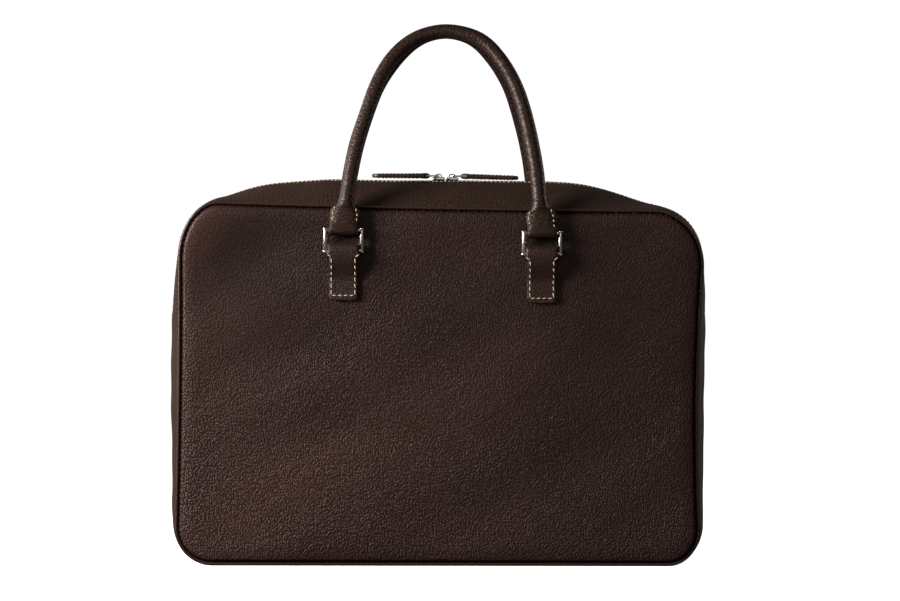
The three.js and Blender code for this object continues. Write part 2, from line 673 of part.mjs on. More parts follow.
function handleGeometry(face) {
  const sections = handleSections(face);
  const line = new THREE.CatmullRomCurve3(sections.map(({ centre }) => centre));
  const sizes = new THREE.CatmullRomCurve3(sections.map(({ size }) => size));
  const rollRings = Array.from({ length: HANDLE_STEPS + 1 }, (_, step) => {
    const share = step / HANDLE_STEPS;
    const centre = line.getPoint(share);
    const size = sizes.getPoint(share);
    const across = new THREE.Vector3().crossVectors(line.getTangent(share), depthAxis).normalize();
    const through = new THREE.Vector3().crossVectors(across, line.getTangent(share));
    return Array.from({ length: HANDLE_SIDES }, (_side, k) => {
      const angle = (2 * Math.PI * k) / HANDLE_SIDES;
      const point = centre.clone().addScaledVector(across, (size.x / 2) * Math.cos(angle));
      return point.addScaledVector(through, (size.y / 2) * Math.sin(angle));
    });
  });
  let handle = toManifold(loft(rollRings, 'fan'));
  for (const ring of rings) {
    const z = ring.z + ringReach;
    handle = handle.add(
      toManifold(barAlongX(loopRadius, handleLoopWidth, ring.x, face * ringDepth, z, LOOP_SIDES)),
    );
    handle = handle.subtract(
      toManifold(barAlongX(loopBore, 2 * handleLoopWidth, ring.x, face * ringDepth, z, LOOP_SIDES)),
    );
  }
  return fromManifold(handle);
}

for (const [faceName, face, dents] of [['front', -1, FRONT_DENTS], ['back', 1, []]]) {
  for (const ring of rings) {
    addRing(faceName, face, ring);
    addTab(faceName, face, ring, dents);
  }
  addPiece(`handle_${faceName}`, handleGeometry(face), LEATHER);
}

export default bag;
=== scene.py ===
import math

import bpy
import numpy as np
from mathutils import Matrix, Quaternion, Vector


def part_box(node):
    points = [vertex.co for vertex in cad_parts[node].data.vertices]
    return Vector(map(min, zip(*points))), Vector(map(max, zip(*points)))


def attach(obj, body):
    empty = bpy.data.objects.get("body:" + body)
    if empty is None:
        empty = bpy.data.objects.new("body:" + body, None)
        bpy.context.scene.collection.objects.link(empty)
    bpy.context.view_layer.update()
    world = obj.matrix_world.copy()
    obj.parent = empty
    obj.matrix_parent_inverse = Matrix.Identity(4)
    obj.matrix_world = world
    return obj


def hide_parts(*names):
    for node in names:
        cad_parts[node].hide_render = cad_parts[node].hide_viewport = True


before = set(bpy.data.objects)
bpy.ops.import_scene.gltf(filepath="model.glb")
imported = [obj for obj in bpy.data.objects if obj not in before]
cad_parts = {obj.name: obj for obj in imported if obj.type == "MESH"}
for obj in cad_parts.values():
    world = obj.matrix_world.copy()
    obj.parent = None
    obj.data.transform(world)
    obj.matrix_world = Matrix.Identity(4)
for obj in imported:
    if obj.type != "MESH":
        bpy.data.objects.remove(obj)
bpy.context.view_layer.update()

# Camera: a long lens nearly square to the front panel, a little to the left of the bag's
# middle and a little above the height of the handles' rings.
CAMERA_AIM = Vector((0.0094, -0.038, 0.2006))
CAMERA_AZIMUTH = -1.4
CAMERA_ELEVATION = 1.5
CAMERA_ROLL = math.radians(0.2)
CAMERA_DISTANCE = 3.5
CAMERA_WIDTH_AT_BAG = 0.6788
SENSOR_WIDTH = 36


def way_toward(azimuth, elevation):
    """Unit vector for degrees round from the front and up from level."""
    azimuth, elevation = math.radians(azimuth), math.radians(elevation)
    level = math.cos(elevation)
    return Vector((
        math.sin(azimuth) * level, -math.cos(azimuth) * level, math.sin(elevation),
    ))


camera_way = way_toward(CAMERA_AZIMUTH, CAMERA_ELEVATION)
bpy.ops.object.camera_add(location=CAMERA_AIM + CAMERA_DISTANCE * camera_way)
camera = bpy.context.object
camera_turn = (-camera_way).to_track_quat("-Z", "Y") @ Quaternion((0, 0, 1), CAMERA_ROLL)
camera.rotation_euler = camera_turn.to_euler()
camera.data.sensor_width = SENSOR_WIDTH
camera.data.lens = SENSOR_WIDTH * CAMERA_DISTANCE / CAMERA_WIDTH_AT_BAG
camera.data.clip_end = 50
bpy.context.scene.camera = camera
bpy.context.scene.view_settings.view_transform = "Standard"

# Floor and backdrop: one pale sheet that runs level under the bag and curves up behind it.
# In the photo it is evenly white, so here it glows by itself and the lamps are the bag's.
FLOOR_HALF_WIDTH = 30.0
FLOOR_FRONT = -30.0
FLOOR_BACK = 6.0
SWEEP_RADIUS = 2.0
BACKDROP_HEIGHT = 4.0
FLOOR_WHITE = (0.93, 0.93, 0.93, 1)
FLOOR_GLOW = 1.02
STAGE_ROUGHNESS = 0.9


def new_material(name, colour, roughness, metallic=0.0):
    material = bpy.data.materials.new(name)
    material.use_nodes = True
    shader = material.node_tree.nodes["Principled BSDF"]
    shader.inputs["Base Color"].default_value = (*colour[:3], 1)
    shader.inputs["Roughness"].default_value = roughness
    shader.inputs["Metallic"].default_value = metallic
    return material, material.node_tree, shader


def plug(tree, node, sockets):
    """Gives each named or numbered socket of a node a value or a link."""
    for name, value in sockets.items():
        if isinstance(value, bpy.types.NodeSocket):
            tree.links.new(value, node.inputs[name])
        else:
            node.inputs[name].default_value = value


def add_node(tree, kind, sockets, **settings):
    node = tree.nodes.new(f"ShaderNode{kind}")
    for name, value in settings.items():
        setattr(node, name, value)
    plug(tree, node, sockets)
    return node


def table(columns, rows):
    """Rows of numbers under their columns' names."""
    return [dict(zip(columns.split(), row)) for row in rows]


def choose(piece):
    """Selects one piece alone and makes it the active one."""
    bpy.ops.object.select_all(action="DESELECT")
    piece.select_set(True)
    bpy.context.view_layer.objects.active = piece


def edit_whole(piece, *steps):
    """Runs mesh tools on all of one piece."""
    choose(piece)
    bpy.ops.object.mode_set(mode="EDIT")
    bpy.ops.mesh.select_all(action="SELECT")
    for step in steps:
        step()
    bpy.ops.object.mode_set(mode="OBJECT")


def shape_grid(name, columns, rows, place, flip=False):
    """A grid primitive whose points are moved to place(u, v), with u and v from 0 to 1."""
    bpy.ops.mesh.primitive_grid_add(x_subdivisions=columns, y_subdivisions=rows, size=2)
    piece = bpy.context.object
    piece.name = name
    flat = np.zeros(len(piece.data.vertices) * 3)
    piece.data.vertices.foreach_get("co", flat)
    u, v = (flat.reshape(-1, 3)[:, :2].T + 1) / 2
    piece.data.vertices.foreach_set("co", np.asarray(place(u, v), float).T.ravel())
    if flip:
        edit_whole(piece, bpy.ops.mesh.flip_normals)
    piece.data.update()
    return piece


def sweep_place(u, v):
    run = v * (FLOOR_BACK - FLOOR_FRONT + SWEEP_RADIUS * math.pi / 2 + BACKDROP_HEIGHT)
    level_run = FLOOR_BACK - FLOOR_FRONT
    turn = np.clip((run - level_run) / SWEEP_RADIUS, 0, math.pi / 2)
    climb = np.maximum(run - level_run - SWEEP_RADIUS * math.pi / 2, 0)
    y = FLOOR_FRONT + np.minimum(run, level_run) + SWEEP_RADIUS * np.sin(turn)
    z = SWEEP_RADIUS * (1 - np.cos(turn)) + climb
    return (2 * u - 1) * FLOOR_HALF_WIDTH, y, z


floor = shape_grid("floor", 2, 240, sweep_place)
bpy.ops.object.shade_smooth()
stage_white, stage_tree, stage_shader = new_material("stage_white", FLOOR_WHITE, STAGE_ROUGHNESS)
plug(stage_tree, stage_shader, {
    "Emission Color": FLOOR_WHITE, "Emission Strength": FLOOR_GLOW,
})
floor.data.materials.append(stage_white)
floor.visible_diffuse = False
floor.visible_glossy = False

# Light: a soft key from the left, weak fills from the front and both far sides, and a pale
# room all round.
LIGHTS = table("name azimuth elevation distance size power", [
    ("key", -62, 17, 1.25, 0.42, 31), ("fill", 10, 20, 2.4, 1.2, 4),
    ("rim", -120, 25, 1.5, 0.5, 6), ("side", 115, 20, 2, 1, 7),
])
LIGHT_AIM = Vector((0, 0, 0.2))
ROOM_STRENGTH = 0.09

for row in LIGHTS:
    way = way_toward(row["azimuth"], row["elevation"])
    bpy.ops.object.light_add(type="AREA", location=LIGHT_AIM + row["distance"] * way)
    lamp = bpy.context.object
    lamp.name = row["name"]
    lamp.rotation_euler = (-way).to_track_quat("-Z", "Y").to_euler()
    lamp.data.size = row["size"]
    lamp.data.energy = row["power"]
room = bpy.data.worlds.new("room")
bpy.context.scene.world = room
room.use_nodes = True
plug(room.node_tree, room.node_tree.nodes["Background"], {
    "Color": (1, 1, 1, 1), "Strength": ROOM_STRENGTH,
})

# Piping: thin rolls of smooth leather round a cord, sewn in where each panel meets the
# gusset. Its line is the bag's outline, with rounded corners and a slumped right shoulder.
MM = 0.001
BODY_WIDTH = 391 * MM
PANEL_HEIGHT = 272 * MM
BODY_DEPTH = 76 * MM
CORNER_REACH = 40 * MM
PIPING_RADIUS = 1.35 * MM
CORNERS = table("across up level upright bow", [
    (-1.007, 0, 0.69, 0.7, 0), (1.013, 0, 0.57, 0.67, -4.6), (1.025, 0.981, 0.9, 1.05, -1.75),
    (-0.993, 1.004, 0.73, 1.08, -1.1),
])
CORNER_ROUNDNESS = 0.552
OUTLINE_STEPS = 1200
FACES = (("front", -1), ("back", 1))
half_width = BODY_WIDTH / 2
half_depth = BODY_DEPTH / 2
panel_middle = PIPING_RADIUS + PANEL_HEIGHT / 2


def bezier(points, steps):
    t = np.linspace(0, 1, steps, endpoint=False)[:, None]
    while len(points) > 1:
        points = [a * (1 - t) + b * t for a, b in zip(points, points[1:])]
    return points[0]


def lengths_along(points):
    """Length from the first point of a path to each of its points."""
    return np.concatenate([[0], np.cumsum(np.linalg.norm(np.diff(points, axis=0), axis=1))])


def unit(vector):
    return vector / np.linalg.norm(vector)


def unit_rows(vectors):
    return vectors / np.linalg.norm(vectors, axis=1)[:, None]


def clamp(value):
    return np.clip(value, 0, 1)


def body_outline():
    """Even steps round the outline: x, z and the outward normal, and the loop's length."""
    corners = [
        np.array([row["across"] * half_width, PIPING_RADIUS + row["up"] * PANEL_HEIGHT])
        for row in CORNERS
    ]
    rounds = []
    for i, (row, corner) in enumerate(zip(CORNERS, corners)):
        before = corners[i - 1] - corner
        after = corners[(i + 1) % 4] - corner
        first, second = ("upright", "level") if i % 2 == 0 else ("level", "upright")
        start = corner + unit(before) * row[first] * CORNER_REACH
        end = corner + unit(after) * row[second] * CORNER_REACH
        rounds.append([
            start, start + (corner - start) * CORNER_ROUNDNESS,
            end + (corner - end) * CORNER_ROUNDNESS, end,
        ])
    runs = []
    for i, row in enumerate(CORNERS):
        start, end = rounds[i][3], rounds[(i + 1) % 4][0]
        way = unit(end - start)
        middle = (start + end) / 2 + np.array([way[1], -way[0]]) * row["bow"] * PIPING_RADIUS
        runs.append(bezier(rounds[i], 60))
        runs.append(bezier([start, middle, end], 200))
    path = np.vstack([*runs, runs[0][:1]])
    arc = lengths_along(path)
    even = np.linspace(0, arc[-1], OUTLINE_STEPS, endpoint=False)
    spots = np.stack([np.interp(even, arc, path[:, k]) for k in (0, 1)], axis=1)
    way = unit_rows(np.roll(spots, -3, axis=0) - np.roll(spots, 3, axis=0))
    return spots[:, 0], spots[:, 1], way[:, 1], -way[:, 0], even, arc[-1]


outline_x, outline_z, outline_nx, outline_nz, outline_arc, LOOP_LENGTH = body_outline()


def outline_at(arc):
    """Place and outward normal at a length along the outline, from its lower left corner."""
    columns = (outline_x, outline_z, outline_nx, outline_nz)
    return [np.interp(arc, outline_arc, column, period=LOOP_LENGTH) for column in columns]


def move_uv(piece, place):
    """Turns the grid's own map, 0 to 1 each way, into metres along and across the leather."""
    layer = piece.data.uv_layers[0].data
    uv = np.zeros(len(layer) * 2)
    layer.foreach_get("uv", uv)
    layer.foreach_set("uv", np.stack(place(*uv.reshape(-1, 2).T), axis=1).ravel())


def real_uv(piece, length, width):
    move_uv(piece, lambda u, v: (u * length, v * width))


def close_ends():
    """Fills the open ends of the mesh in hand."""
    bpy.ops.mesh.select_all(action="DESELECT")
    bpy.ops.mesh.select_mode(type="EDGE")
    bpy.ops.mesh.select_non_manifold()
    bpy.ops.mesh.fill_holes(sides=0)
    bpy.ops.mesh.select_all(action="SELECT")


def weld(piece, distance=1e-6, *steps):
    """Closes a rolled grid along its seam and turns its faces outward."""
    edit_whole(
        piece, lambda: bpy.ops.mesh.remove_doubles(threshold=distance), *steps,
        lambda: bpy.ops.mesh.normals_make_consistent(inside=False),
    )


def add_modifier(piece, kind, **settings):
    choose(piece)
    modifier = piece.modifiers.new(kind.title(), kind)
    for key, value in settings.items():
        setattr(modifier, key, value)
    bpy.ops.object.modifier_apply(modifier=modifier.name)


def finish_piece(piece, material, slot, *nodes):
    """Smooth shading, material and the nodes that the piece stands for. The slot is not used."""
    choose(piece)
    bpy.ops.object.shade_smooth_by_angle(angle=math.radians(50))
    piece.data.materials.append(material)
    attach(piece, "root")
    if nodes:
        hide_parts(*nodes)


LEATHER_SHINE = (1.0, 0.80, 0.70, 1)


def leather(name, colour, crease, light, grain, depth, roughness, stretch=(1, 1),
            map_name="UV", gloss=0.35, painted_light=False):
    """Grained leather: pebbles parted by darker creases, with fine wrinkles and a soft sheen.
    grain is the size of a pebble and depth the creases' depth, both in metres, and crease is
    how light the creases stay. When the piece carries painted light, the tone follows its stored
    values of painted highlight and painted shade, and the grain stands out as its relief values
    say."""
    material, tree, shader = new_material(name, colour, roughness)
    place = add_node(tree, "TexCoord", {})
    turn = (math.pi / 2 if map_name == "Object" else 0, 0, 0)
    upright = add_node(tree, "Mapping", {"Vector": place.outputs[map_name], "Rotation": turn})
    scale = (1 / (grain * stretch[0]), 1 / (grain * stretch[1]), 1 / grain)
    mapping = add_node(tree, "Mapping", {"Vector": upright.outputs["Vector"], "Scale": scale})
    mapped = mapping.outputs["Vector"]
    wander = add_node(tree, "TexNoise", {"Vector": mapped, "Scale": 0.35, "Detail": 2})
    push = add_node(tree, "VectorMath", {
        0: wander.outputs["Color"], 1: (1.5, 1.5, 0), 2: mapped,
    }, operation="MULTIPLY_ADD")
    cells = add_node(tree, "TexVoronoi", {
        "Vector": push.outputs["Vector"], "Scale": 1, "Randomness": 0.85, "Smoothness": 0.18,
    }, voronoi_dimensions="2D", feature="SMOOTH_F1")
    dome = add_node(tree, "MapRange", {
        "Value": cells.outputs["Distance"], "From Min": 0.62, "From Max": 0.0,
    }, interpolation_type="SMOOTHSTEP").outputs["Result"]
    wrinkles = add_node(tree, "TexNoise", {
        "Vector": mapped, "Scale": 1.3, "Detail": 3, "Roughness": 0.55,
    })
    height = add_node(tree, "Math", {
        0: wrinkles.outputs["Fac"], 1: 0.3, 2: dome,
    }, operation="MULTIPLY_ADD")
    bump = add_node(tree, "Bump", {
        "Strength": 1.0, "Distance": depth, "Height": height.outputs["Value"],
    })
    clouds = add_node(tree, "TexNoise", {
        "Vector": place.outputs["Object"], "Scale": 14, "Detail": 4,
    }).outputs["Fac"]
    share = clouds
    # Painted light: stored values lighten the tone as painted highlights and darken it as painted
    # shade.
    if painted_light:
        painted_light_values = add_node(tree, "Attribute", {}, attribute_name="painted_light")
        relief = add_node(tree, "Attribute", {}, attribute_name="relief")
        tree.links.new(relief.outputs["Fac"], bump.inputs["Strength"])
        share = add_node(tree, "Math", {
            0: clouds, 1: 0.22, 2: painted_light_values.outputs["Fac"],
        }, operation="MULTIPLY_ADD").outputs["Value"]
    tone = add_node(tree, "Mix", {
        "Factor": share, "A": (*colour, 1), "B": (*light, 1),
    }, data_type="RGBA")
    valley = add_node(tree, "Math", {0: 1, 1: dome}, operation="SUBTRACT")
    creased = add_node(tree, "Mix", {
        "Factor": valley.outputs["Value"], "A": tone.outputs["Result"],
        "B": (crease, crease, crease, 1),
    }, data_type="RGBA", blend_type="MULTIPLY")
    sheen = add_node(tree, "MapRange", {
        "Value": clouds, "From Min": 0.3, "From Max": 0.7,
        "To Min": roughness - 0.05, "To Max": roughness + 0.07,
    })
    plug(tree, shader, {
        "Base Color": creased.outputs["Result"], "Normal": bump.outputs["Normal"],
        "Roughness": sheen.outputs["Result"], "Specular IOR Level": gloss,
        "Specular Tint": LEATHER_SHINE,
    })
    return material


smooth_leather = leather(
    "smooth_leather", colour=(0.030, 0.0135, 0.0095), crease=0.5,
    light=(0.040, 0.019, 0.0135), grain=0.9 * MM, depth=0.05 * MM, roughness=0.36, gloss=0.5,
)


def roll_place(face):
    def place(u, v):
        x, z, nx, nz = outline_at(u * LOOP_LENGTH)
        turn = 2 * math.pi * v
        out = PIPING_RADIUS * np.cos(turn)
        depth = face * half_depth + PIPING_RADIUS * np.sin(turn)
        return x + nx * out, depth, z + nz * out
    return place


for face_name, face in FACES:
    piping = shape_grid(f"piping_roll_{face_name}", 420, 12, roll_place(face))
    real_uv(piping, LOOP_LENGTH, 2 * math.pi * PIPING_RADIUS)
    weld(piping)
    finish_piece(piping, smooth_leather, "smooth_leather", f"piping_{face_name}")

# Panels: soft pebbled hide over a thin pad, drawn down to the piping round the edge, with a
# rolled border, a slight belly, a few soft dents and the fine diagonal creases of the hide.
PANEL_THICKNESS = 1.8 * MM
RIM_INSET = 1.0 * MM
GROOVE_EDGE = 2.2 * MM
GROOVE_WALL = 1.8 * MM
GROOVE_SINK = 2.4 * MM
EDGE_ROLL = 3.0 * MM
EDGE_ROLL_WIDTH = 14 * MM
PANEL_BELLY = 3.0 * MM
DENT_DEPTH = 2.2 * MM
FRONT_DENTS = table("across up reach_across reach_up depth", [
    (-0.73, 0.86, 0.16, 0.1, 1), (-0.53, 0.6, 0.15, 0.08, 0.6), (-0.1, 0.36, 0.3, 0.07, 0.4),
    (0.72, 0.55, 0.12, 0.3, 0.6),
])
DENTS = {"front": FRONT_DENTS, "back": []}
HIDE_WAVES = table("size length lean shift only_right", [
    (0.55, 62, 0.45, 0, False), (0.07, 17, 0.62, 3, False), (0.1, 9, -0.75, 5, True),
])
PANEL_CALM = 20 * MM
RIGHT_SIDE = 80 * MM
PUCKER_INSET = 5 * MM
PUCKER_DEPTH = 0.07 * MM
PUCKERS = 190
RIM_CROWDING = 1.4
PANEL_COLUMNS = 240
PANEL_ROWS = 168

# Its tone carries painted highlights and painted shade from the panels' stored values.
pebbled_leather = leather(
    "pebbled_leather", colour=(0.010, 0.0042, 0.0031), crease=0.58,
    light=(0.084, 0.0365, 0.0290), grain=1.85 * MM, depth=0.40 * MM, roughness=0.43,
    stretch=(0.88, 1.2), map_name="Object", gloss=0.27, painted_light=True,
)
# Painted light and shade laid into the front hide's colour. Each row is one soft patch: a positive
# tone paints light and a negative tone paints shade. The patches are a painted sheen from the lower
# left, a painted highlight on the upper left roll, painted shade in the upper left dents, and
# painted shadow on the hide behind each ring, between the handle's loop and the tab's loop.
PAINTED_LIGHT_GROUND = 0.17
PAINTED_LIGHT = table("across up reach_across reach_up lean tone", [
    (-0.45, 0.25, 0.5, 0.12, 0.5, 0.3), (-0.78, 0.45, 0.22, 0.3, 0.2, 0.1),
    (-0.93, 0.93, 0.07, 0.12, -0.7, 0.35), (0.1, 0.42, 0.26, 0.09, 0.6, 0.14),
    (0.05, 0.1, 0.6, 0.14, 0.1, 0.12), (-0.66, 0.86, 0.2, 0.12, 0, -0.36),
    (-0.55, 0.6, 0.14, 0.07, 0.4, -0.12), (0.85, 0.2, 0.3, 0.4, 0, 0.05),
    (-0.364, 0.899, 0.06, 0.03, 0, -0.8), (0.4, 0.893, 0.06, 0.03, 0, -0.8),
])


def inset_of(x, z):
    """Distance from points of a panel to the outline."""
    nearest = np.full(x.shape, np.inf)
    for spot_x, spot_z in zip(outline_x[::4], outline_z[::4]):
        nearest = np.minimum(nearest, np.hypot(x - spot_x, z - spot_z))
    return nearest


def ripples(x, z, length, lean, seed):
    """Smooth uneven waves across a leaning direction, between -1 and 1."""
    along = x * math.cos(lean) + z * math.sin(lean)
    across = -x * math.sin(lean) + z * math.cos(lean)
    total = np.zeros_like(x)
    for k in range(4):
        phase = seed * 1.7 + k * 2.1
        pitch = length * (1 + 0.37 * k)
        bend = 0.6 * np.sin(along / (pitch * 2.3) + phase)
        total += np.sin(across * 2 * math.pi / pitch + bend * 3 + phase) / (1 + 0.5 * k)
    return total / 2.6


def panel_depth(x, z, dents):
    """How far a panel's outer face stands out from the piping's middle plane."""
    across = x / half_width
    up = (z - panel_middle) / (PANEL_HEIGHT / 2)
    inset = inset_of(x, z)
    flat = 1 - clamp(inset / EDGE_ROLL_WIDTH)
    roll = EDGE_ROLL * np.sqrt(1 - flat ** 2)
    belly = PANEL_BELLY * clamp(1 - across ** 2) * clamp(1 - up ** 2)
    depth = PANEL_THICKNESS / 2 + roll + belly
    for dent in dents:
        dx = (across - dent["across"]) * half_width / (dent["reach_across"] * PANEL_HEIGHT)
        dz = ((z - PIPING_RADIUS) / PANEL_HEIGHT - dent["up"]) / dent["reach_up"]
        depth -= DENT_DEPTH * dent["depth"] * (1 - flat) * np.exp(-dx ** 2 - dz ** 2)
    wall = 1 - clamp((inset - GROOVE_EDGE) / GROOVE_WALL)
    rounded = np.sqrt(1 - wall ** 2)
    return depth * rounded - GROOVE_SINK * (1 - rounded)


def panel_front(x, z, dents):
    """Distance of one spot of a panel's outer face from the bag's middle plane."""
    return half_depth + float(panel_depth(np.array([x]), np.array([z]), dents)[0])


def panel_spot(u, v):
    """Point of a panel's sheet: squares one inside the other, the outermost on the rim."""
    a, b = 2 * u - 1, 2 * v - 1
    reach = np.maximum(np.maximum(np.abs(a), np.abs(b)), 1e-9)
    a, b = a / reach, b / reach
    reach = 1 - (1 - np.minimum(reach, 1)) ** RIM_CROWDING
    turns = corner_arcs
    bottom = turns[0] + (a + 1) / 2 * (turns[1] - turns[0])
    right = turns[1] + (b + 1) / 2 * (turns[2] - turns[1])
    top = turns[2] + (1 - a) / 2 * (turns[3] - turns[2])
    left = turns[3] + (1 - b) / 2 * (turns[0] + LOOP_LENGTH - turns[3])
    on_level = np.abs(b) >= np.abs(a)
    arc = np.where(on_level, np.where(b < 0, bottom, top), np.where(a > 0, right, left))
    x, z, nx, nz = outline_at(arc)
    x, z = x - nx * RIM_INSET, z - nz * RIM_INSET
    return x * reach, panel_middle + (z - panel_middle) * reach


def painted_light_at(x, z):
    """How light the hide is painted at points of a panel, from 0 to about 1: painted highlights
    raise the value and painted shade lowers it.
    """
    value = np.full(x.shape, PAINTED_LIGHT_GROUND)
    for row in PAINTED_LIGHT:
        dx = x - row["across"] * half_width
        dz = z - PIPING_RADIUS - row["up"] * PANEL_HEIGHT
        along = dx * math.cos(row["lean"]) + dz * math.sin(row["lean"])
        beside = dz * math.cos(row["lean"]) - dx * math.sin(row["lean"])
        away = (along / row["reach_across"]) ** 2 + (beside / row["reach_up"]) ** 2
        value += row["tone"] * np.exp(-away / PANEL_HEIGHT ** 2)
    return clamp(value)


def relief_at(x, z):
    """How far the grain stands out: most near the base and least at the upper left corner."""
    across = x / half_width
    up = (z - PIPING_RADIUS) / PANEL_HEIGHT
    corner = np.exp(-((across + 0.85) / 0.35) ** 2 - ((up - 0.85) / 0.35) ** 2)
    return clamp(1 - 0.38 * up - 0.30 * corner)


def nearest_arc(x, z):
    return outline_arc[np.argmin(np.hypot(outline_x - x, outline_z - z))]


corner_arcs = [
    nearest_arc(row["across"] * half_width, PIPING_RADIUS + row["up"] * PANEL_HEIGHT)
    for row in CORNERS
]


def panel_place(face, dents, seed):
    def place(u, v):
        x, z = panel_spot(u, v)
        inset = inset_of(x, z)
        depth = panel_depth(x, z, dents)
        calm = clamp(inset / PANEL_CALM)
        right_side = clamp((x - RIGHT_SIDE) / RIGHT_SIDE)
        soft = np.zeros_like(x)
        for row in HIDE_WAVES:
            where = right_side if row["only_right"] else 1
            wave = ripples(x, z, row["length"] * MM, row["lean"], seed + row["shift"])
            soft += row["size"] * MM * where * wave
        near_rim = clamp(1 - np.abs(inset - PUCKER_INSET) / PUCKER_INSET)
        arc_turn = np.arctan2(z - panel_middle, x)
        pucker = np.sin(arc_turn * PUCKERS + 3 * np.sin(arc_turn * 23))
        soft += PUCKER_DEPTH * near_rim * pucker
        return x, face * (half_depth + depth + calm * soft), z
    return place


for face_name, face in FACES:
    dents = DENTS[face_name]
    panel = shape_grid(
        f"{face_name}_hide", PANEL_COLUMNS, PANEL_ROWS, panel_place(face, dents, face + 2),
        flip=face > 0,
    )
    spots = np.array([vertex.co[:] for vertex in panel.data.vertices])
    # Painted light and shade are stored on the hide's points for its material.
    painted_light_values = panel.data.attributes.new("painted_light", "FLOAT", "POINT")
    painted_light_values.data.foreach_set("value", painted_light_at(spots[:, 0], spots[:, 2]))
    relief = panel.data.attributes.new("relief", "FLOAT", "POINT")
    relief.data.foreach_set("value", relief_at(spots[:, 0], spots[:, 2]))
    add_modifier(panel, "SOLIDIFY", thickness=PANEL_THICKNESS, offset=-1)
    finish_piece(panel, pebbled_leather, "pebbled_leather", f"{face_name}_panel")

# Gusset: a band of finer, browner hide. The base's piece runs round both sides and under the
# bag, and the zip's two pieces run over the top like a low tent and are turned in at the zip.
GUSSET_THICKNESS = 1.7 * MM
ZIP_RISE = 22 * MM
SIDE_BULGE = 7 * MM
BASE_SEAM_HEIGHT = 190 * MM
SEAM_GAP = 0.3 * MM
ZIP_SLOT = 13 * MM
ZIP_EDGE_TURN = 1.2 * MM
ZIP_EDGE_SINK = 0.7 * MM
SEAM_TUCK = 1.6 * MM
SEAM_SINK = 1.1 * MM
GUSSET_PUCKER = 3.4 * MM
GUSSET_PUCKER_DEPTH = 0.10 * MM
GUSSET_WAVE_DEPTH = 0.16 * MM
GUSSET_CALM = 8 * MM
PIPING_OVERLAP = 0.2 * MM
GUSSET_TABLE = table("clock zip side sharp", [
    (0, 0, 1, 2.4), (16, 0, 0.9, 2.4), (27, 0, 0.6, 2.3), (34, 0, 0.2, 2.2), (42, 0, 0.42, 2),
    (48.5, 0, 0.3, 1.9), (50, 0.12, 0.28, 1.9), (54, 0.5, 0.2, 1.8), (57.5, 0.77, 0.1, 1.8),
    (61, 0.92, 0.05, 1.7), (66, 0.985, 0, 1.7), (83, 0.975, 0, 1.7), (100, 0.925, 0, 1.7),
    (113, 0.91, 0, 1.7), (119, 0.8, 0, 1.7), (123.5, 0.67, 0, 1.8), (126.5, 0.47, 0, 1.8),
    (130, 0.07, 0, 1.9), (132, 0, 0.03, 2), (143, 0, 0.1, 2), (148, 0, 0.33, 2.2),
    (154, 0, 0.62, 2.2), (161, 0, 0.78, 2.3), (172, 0, 0.86, 2.4), (187, 0, 0.78, 2.4),
    (200, 0, 0.62, 2.4), (214, 0, 0.48, 2.4), (222, 0, 0.15, 2.4), (228, 0, 0, 2.4),
    (312, 0, 0, 2.4), (319, 0, 0.45, 2.4), (326, 0, 0.75, 2.4), (340, 0, 0.93, 2.4),
    (360, 0, 1, 2.4),
])
CLOCK_BLUR = (-1.6, -0.8, 0, 0.8, 1.6)
gusset_half = half_depth - PIPING_RADIUS + PIPING_OVERLAP
slot_edge = ZIP_SLOT / 2

gusset_leather = leather(
    "gusset_leather", colour=(0.033, 0.0155, 0.0100), crease=0.46,
    light=(0.046, 0.0225, 0.0150), grain=1.5 * MM, depth=0.14 * MM, roughness=0.5,
    stretch=(0.75, 2.4),
)


def gusset_value(column, at):
    """Value of a column of the gusset's table, blended between its rows and softened."""
    keys = [row["clock"] for row in GUSSET_TABLE]
    values = [row[column] for row in GUSSET_TABLE]
    return np.mean([np.interp(at + shift, keys, values) for shift in CLOCK_BLUR], axis=0)


def gusset_at(arc, y, offset):
    """Point of the gusset's outer face, offset metres further out along the outline's normal."""
    x, z, nx, nz = outline_at(arc)
    clock = np.degrees(np.arctan2((z - panel_middle) / (PANEL_HEIGHT / 2), x / half_width)) % 360
    zip_rise = ZIP_RISE * gusset_value("zip", clock)
    side_rise = SIDE_BULGE * gusset_value("side", clock)
    sharp = gusset_value("sharp", clock)
    share = clamp(np.maximum(np.abs(y), slot_edge) / gusset_half)
    out = PIPING_RADIUS + (zip_rise + side_rise) * (1 - share ** sharp) + offset
    return np.stack([x + nx * out, y + 0 * x, z + nz * out])


def side_arc(height, on_right):
    """Length along the outline at which a side passes a height."""
    at_side = (outline_x > 0) if on_right else (outline_x < 0)
    away = np.where(at_side, np.abs(outline_z - height), np.inf)
    return outline_arc[np.argmin(away)]


right_seam = side_arc(BASE_SEAM_HEIGHT, True)
left_seam = side_arc(BASE_SEAM_HEIGHT, False)
zip_arcs = (right_seam + SEAM_GAP / 2, left_seam - SEAM_GAP / 2)
base_arcs = (left_seam + SEAM_GAP / 2, right_seam + LOOP_LENGTH - SEAM_GAP / 2)


def tuck(y):
    """The band's leather turns down into the seam beside each piping."""
    edge = clamp((np.abs(y) - (gusset_half - SEAM_TUCK)) / SEAM_TUCK)
    return -SEAM_SINK * edge ** 2


